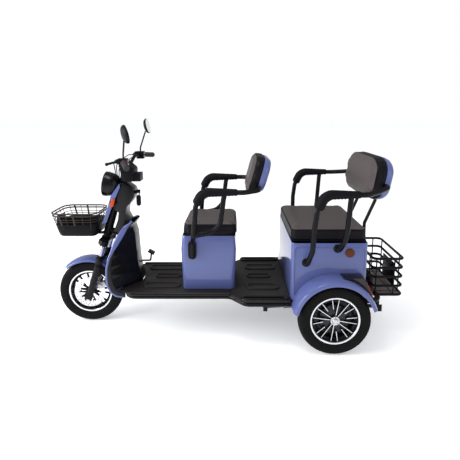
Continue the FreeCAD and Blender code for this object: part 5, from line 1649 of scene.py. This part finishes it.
class TRICYCLE_OT_stage(bpy.types.Operator):
    """White backdrop, pale floor, soft lamps and the photograph's camera"""
    bl_idname = "tricycle.stage"
    bl_label = "Stage"

    def execute(self, context):
        scene = context.scene
        settings = scene.trike_stage

        bm = bmesh.new()
        bmesh.ops.create_grid(bm, x_segments=1, y_segments=1, size=FLOOR_HALF)
        mesh = bpy.data.meshes.new("floor")
        bm.to_mesh(mesh)
        bm.free()
        floor = link("stage_floor", mesh)
        finish = Finish("Stage_floor")
        cloud = finish.noise(0.8, 2.0)
        tone = finish.blend((0.79, 0.79, 0.80, 1.0), (0.81, 0.81, 0.82, 1.0), cloud)
        sheet = finish.surface(tone, 0.9, None, Emission_Color=(0.94, 0.96, 1.0, 1.0), Emission_Strength=0.33)
        floor.data.materials.append(sheet)

        world = bpy.data.worlds.new("White studio")
        scene.world = world
        world.use_nodes = True
        tree = world.node_tree
        tree.nodes.clear()
        output = tree.nodes.new("ShaderNodeOutputWorld")
        path = tree.nodes.new("ShaderNodeLightPath")
        light = None
        for strength, ray in SKY:
            sky = tree.nodes.new("ShaderNodeBackground")
            sky.inputs["Color"].default_value = (1, 1, 1, 1)
            sky.inputs["Strength"].default_value = strength
            if ray is None:
                light = sky.outputs["Background"]
                continue
            mix = tree.nodes.new("ShaderNodeMixShader")
            tree.links.new(path.outputs[ray], mix.inputs["Fac"])
            tree.links.new(light, mix.inputs[1])
            tree.links.new(sky.outputs["Background"], mix.inputs[2])
            light = mix.outputs["Shader"]
        tree.links.new(light, output.inputs["Surface"])

        for name, place, target, width, height, power in LAMPS:
            lamp = bpy.data.lights.new(name, "AREA")
            lamp.shape = "RECTANGLE"
            lamp.size = width
            lamp.size_y = height
            lamp.energy = power
            item = bpy.data.objects.new(name, lamp)
            way = Vector(target) - Vector(place)
            item.location = place
            item.rotation_euler = way.to_track_quat("-Z", "Y").to_euler()
            scene.collection.objects.link(item)

        camera = bpy.data.cameras.new("Photograph")
        camera.lens = settings.focal
        camera.sensor_width = SENSOR
        camera.shift_x, camera.shift_y = CAMERA_SHIFT
        holder = bpy.data.objects.new("Photograph", camera)
        holder.location = CAMERA_PLACE
        holder.rotation_euler = (math.pi / 2 - settings.tilt, 0, math.pi)
        scene.collection.objects.link(holder)
        scene.camera = holder
        scene.view_settings.view_transform = "Standard"
        scene.view_settings.look = "None"
        return {"FINISHED"}


OPERATORS = (
    TRICYCLE_OT_tyres, TRICYCLE_OT_rims, TRICYCLE_OT_hubs, TRICYCLE_OT_shells, TRICYCLE_OT_frame_tubes,
    TRICYCLE_OT_springs, TRICYCLE_OT_fork, TRICYCLE_OT_fenders, TRICYCLE_OT_handlebar, TRICYCLE_OT_mirrors,
    TRICYCLE_OT_leg_shield, TRICYCLE_OT_floors, TRICYCLE_OT_trim, TRICYCLE_OT_headlamp, TRICYCLE_OT_cushions,
    TRICYCLE_OT_backrests, TRICYCLE_OT_armrests, TRICYCLE_OT_front_basket, TRICYCLE_OT_rear_basket,
    TRICYCLE_OT_stays, TRICYCLE_OT_stage,
)
SETTINGS = {
    "trike_paint": PaintSettings,
    "trike_wheels": WheelSettings,
    "trike_seats": SeatSettings,
    "trike_wires": WireSettings,
    "trike_stage": StageSettings,
}


class TRICYCLE_PT_panel(bpy.types.Panel):
    """Lists the settings and the steps that build the tricycle"""
    bl_idname = "TRICYCLE_PT_panel"
    bl_label = "Tricycle"
    bl_space_type = "VIEW_3D"
    bl_region_type = "UI"
    bl_category = "Tricycle"

    def draw(self, context):
        for name, kind in SETTINGS.items():
            for setting in kind.__annotations__:
                self.layout.prop(getattr(context.scene, name), setting)
        for operator in OPERATORS:
            self.layout.operator(operator.bl_idname)


def register():
    for kind in (*SETTINGS.values(), *OPERATORS, TRICYCLE_PT_panel):
        bpy.utils.register_class(kind)
    for name, kind in SETTINGS.items():
        setattr(bpy.types.Scene, name, bpy.props.PointerProperty(type=kind))


def unregister():
    for name in SETTINGS:
        delattr(bpy.types.Scene, name)
    for kind in (TRICYCLE_PT_panel, *reversed(OPERATORS), *reversed(list(SETTINGS.values()))):
        bpy.utils.unregister_class(kind)


def main():
    register()
    for operator in OPERATORS:
        group, name = operator.bl_idname.split(".")
        getattr(getattr(bpy.ops, group), name)()


if __name__ == "__main__":
    main()
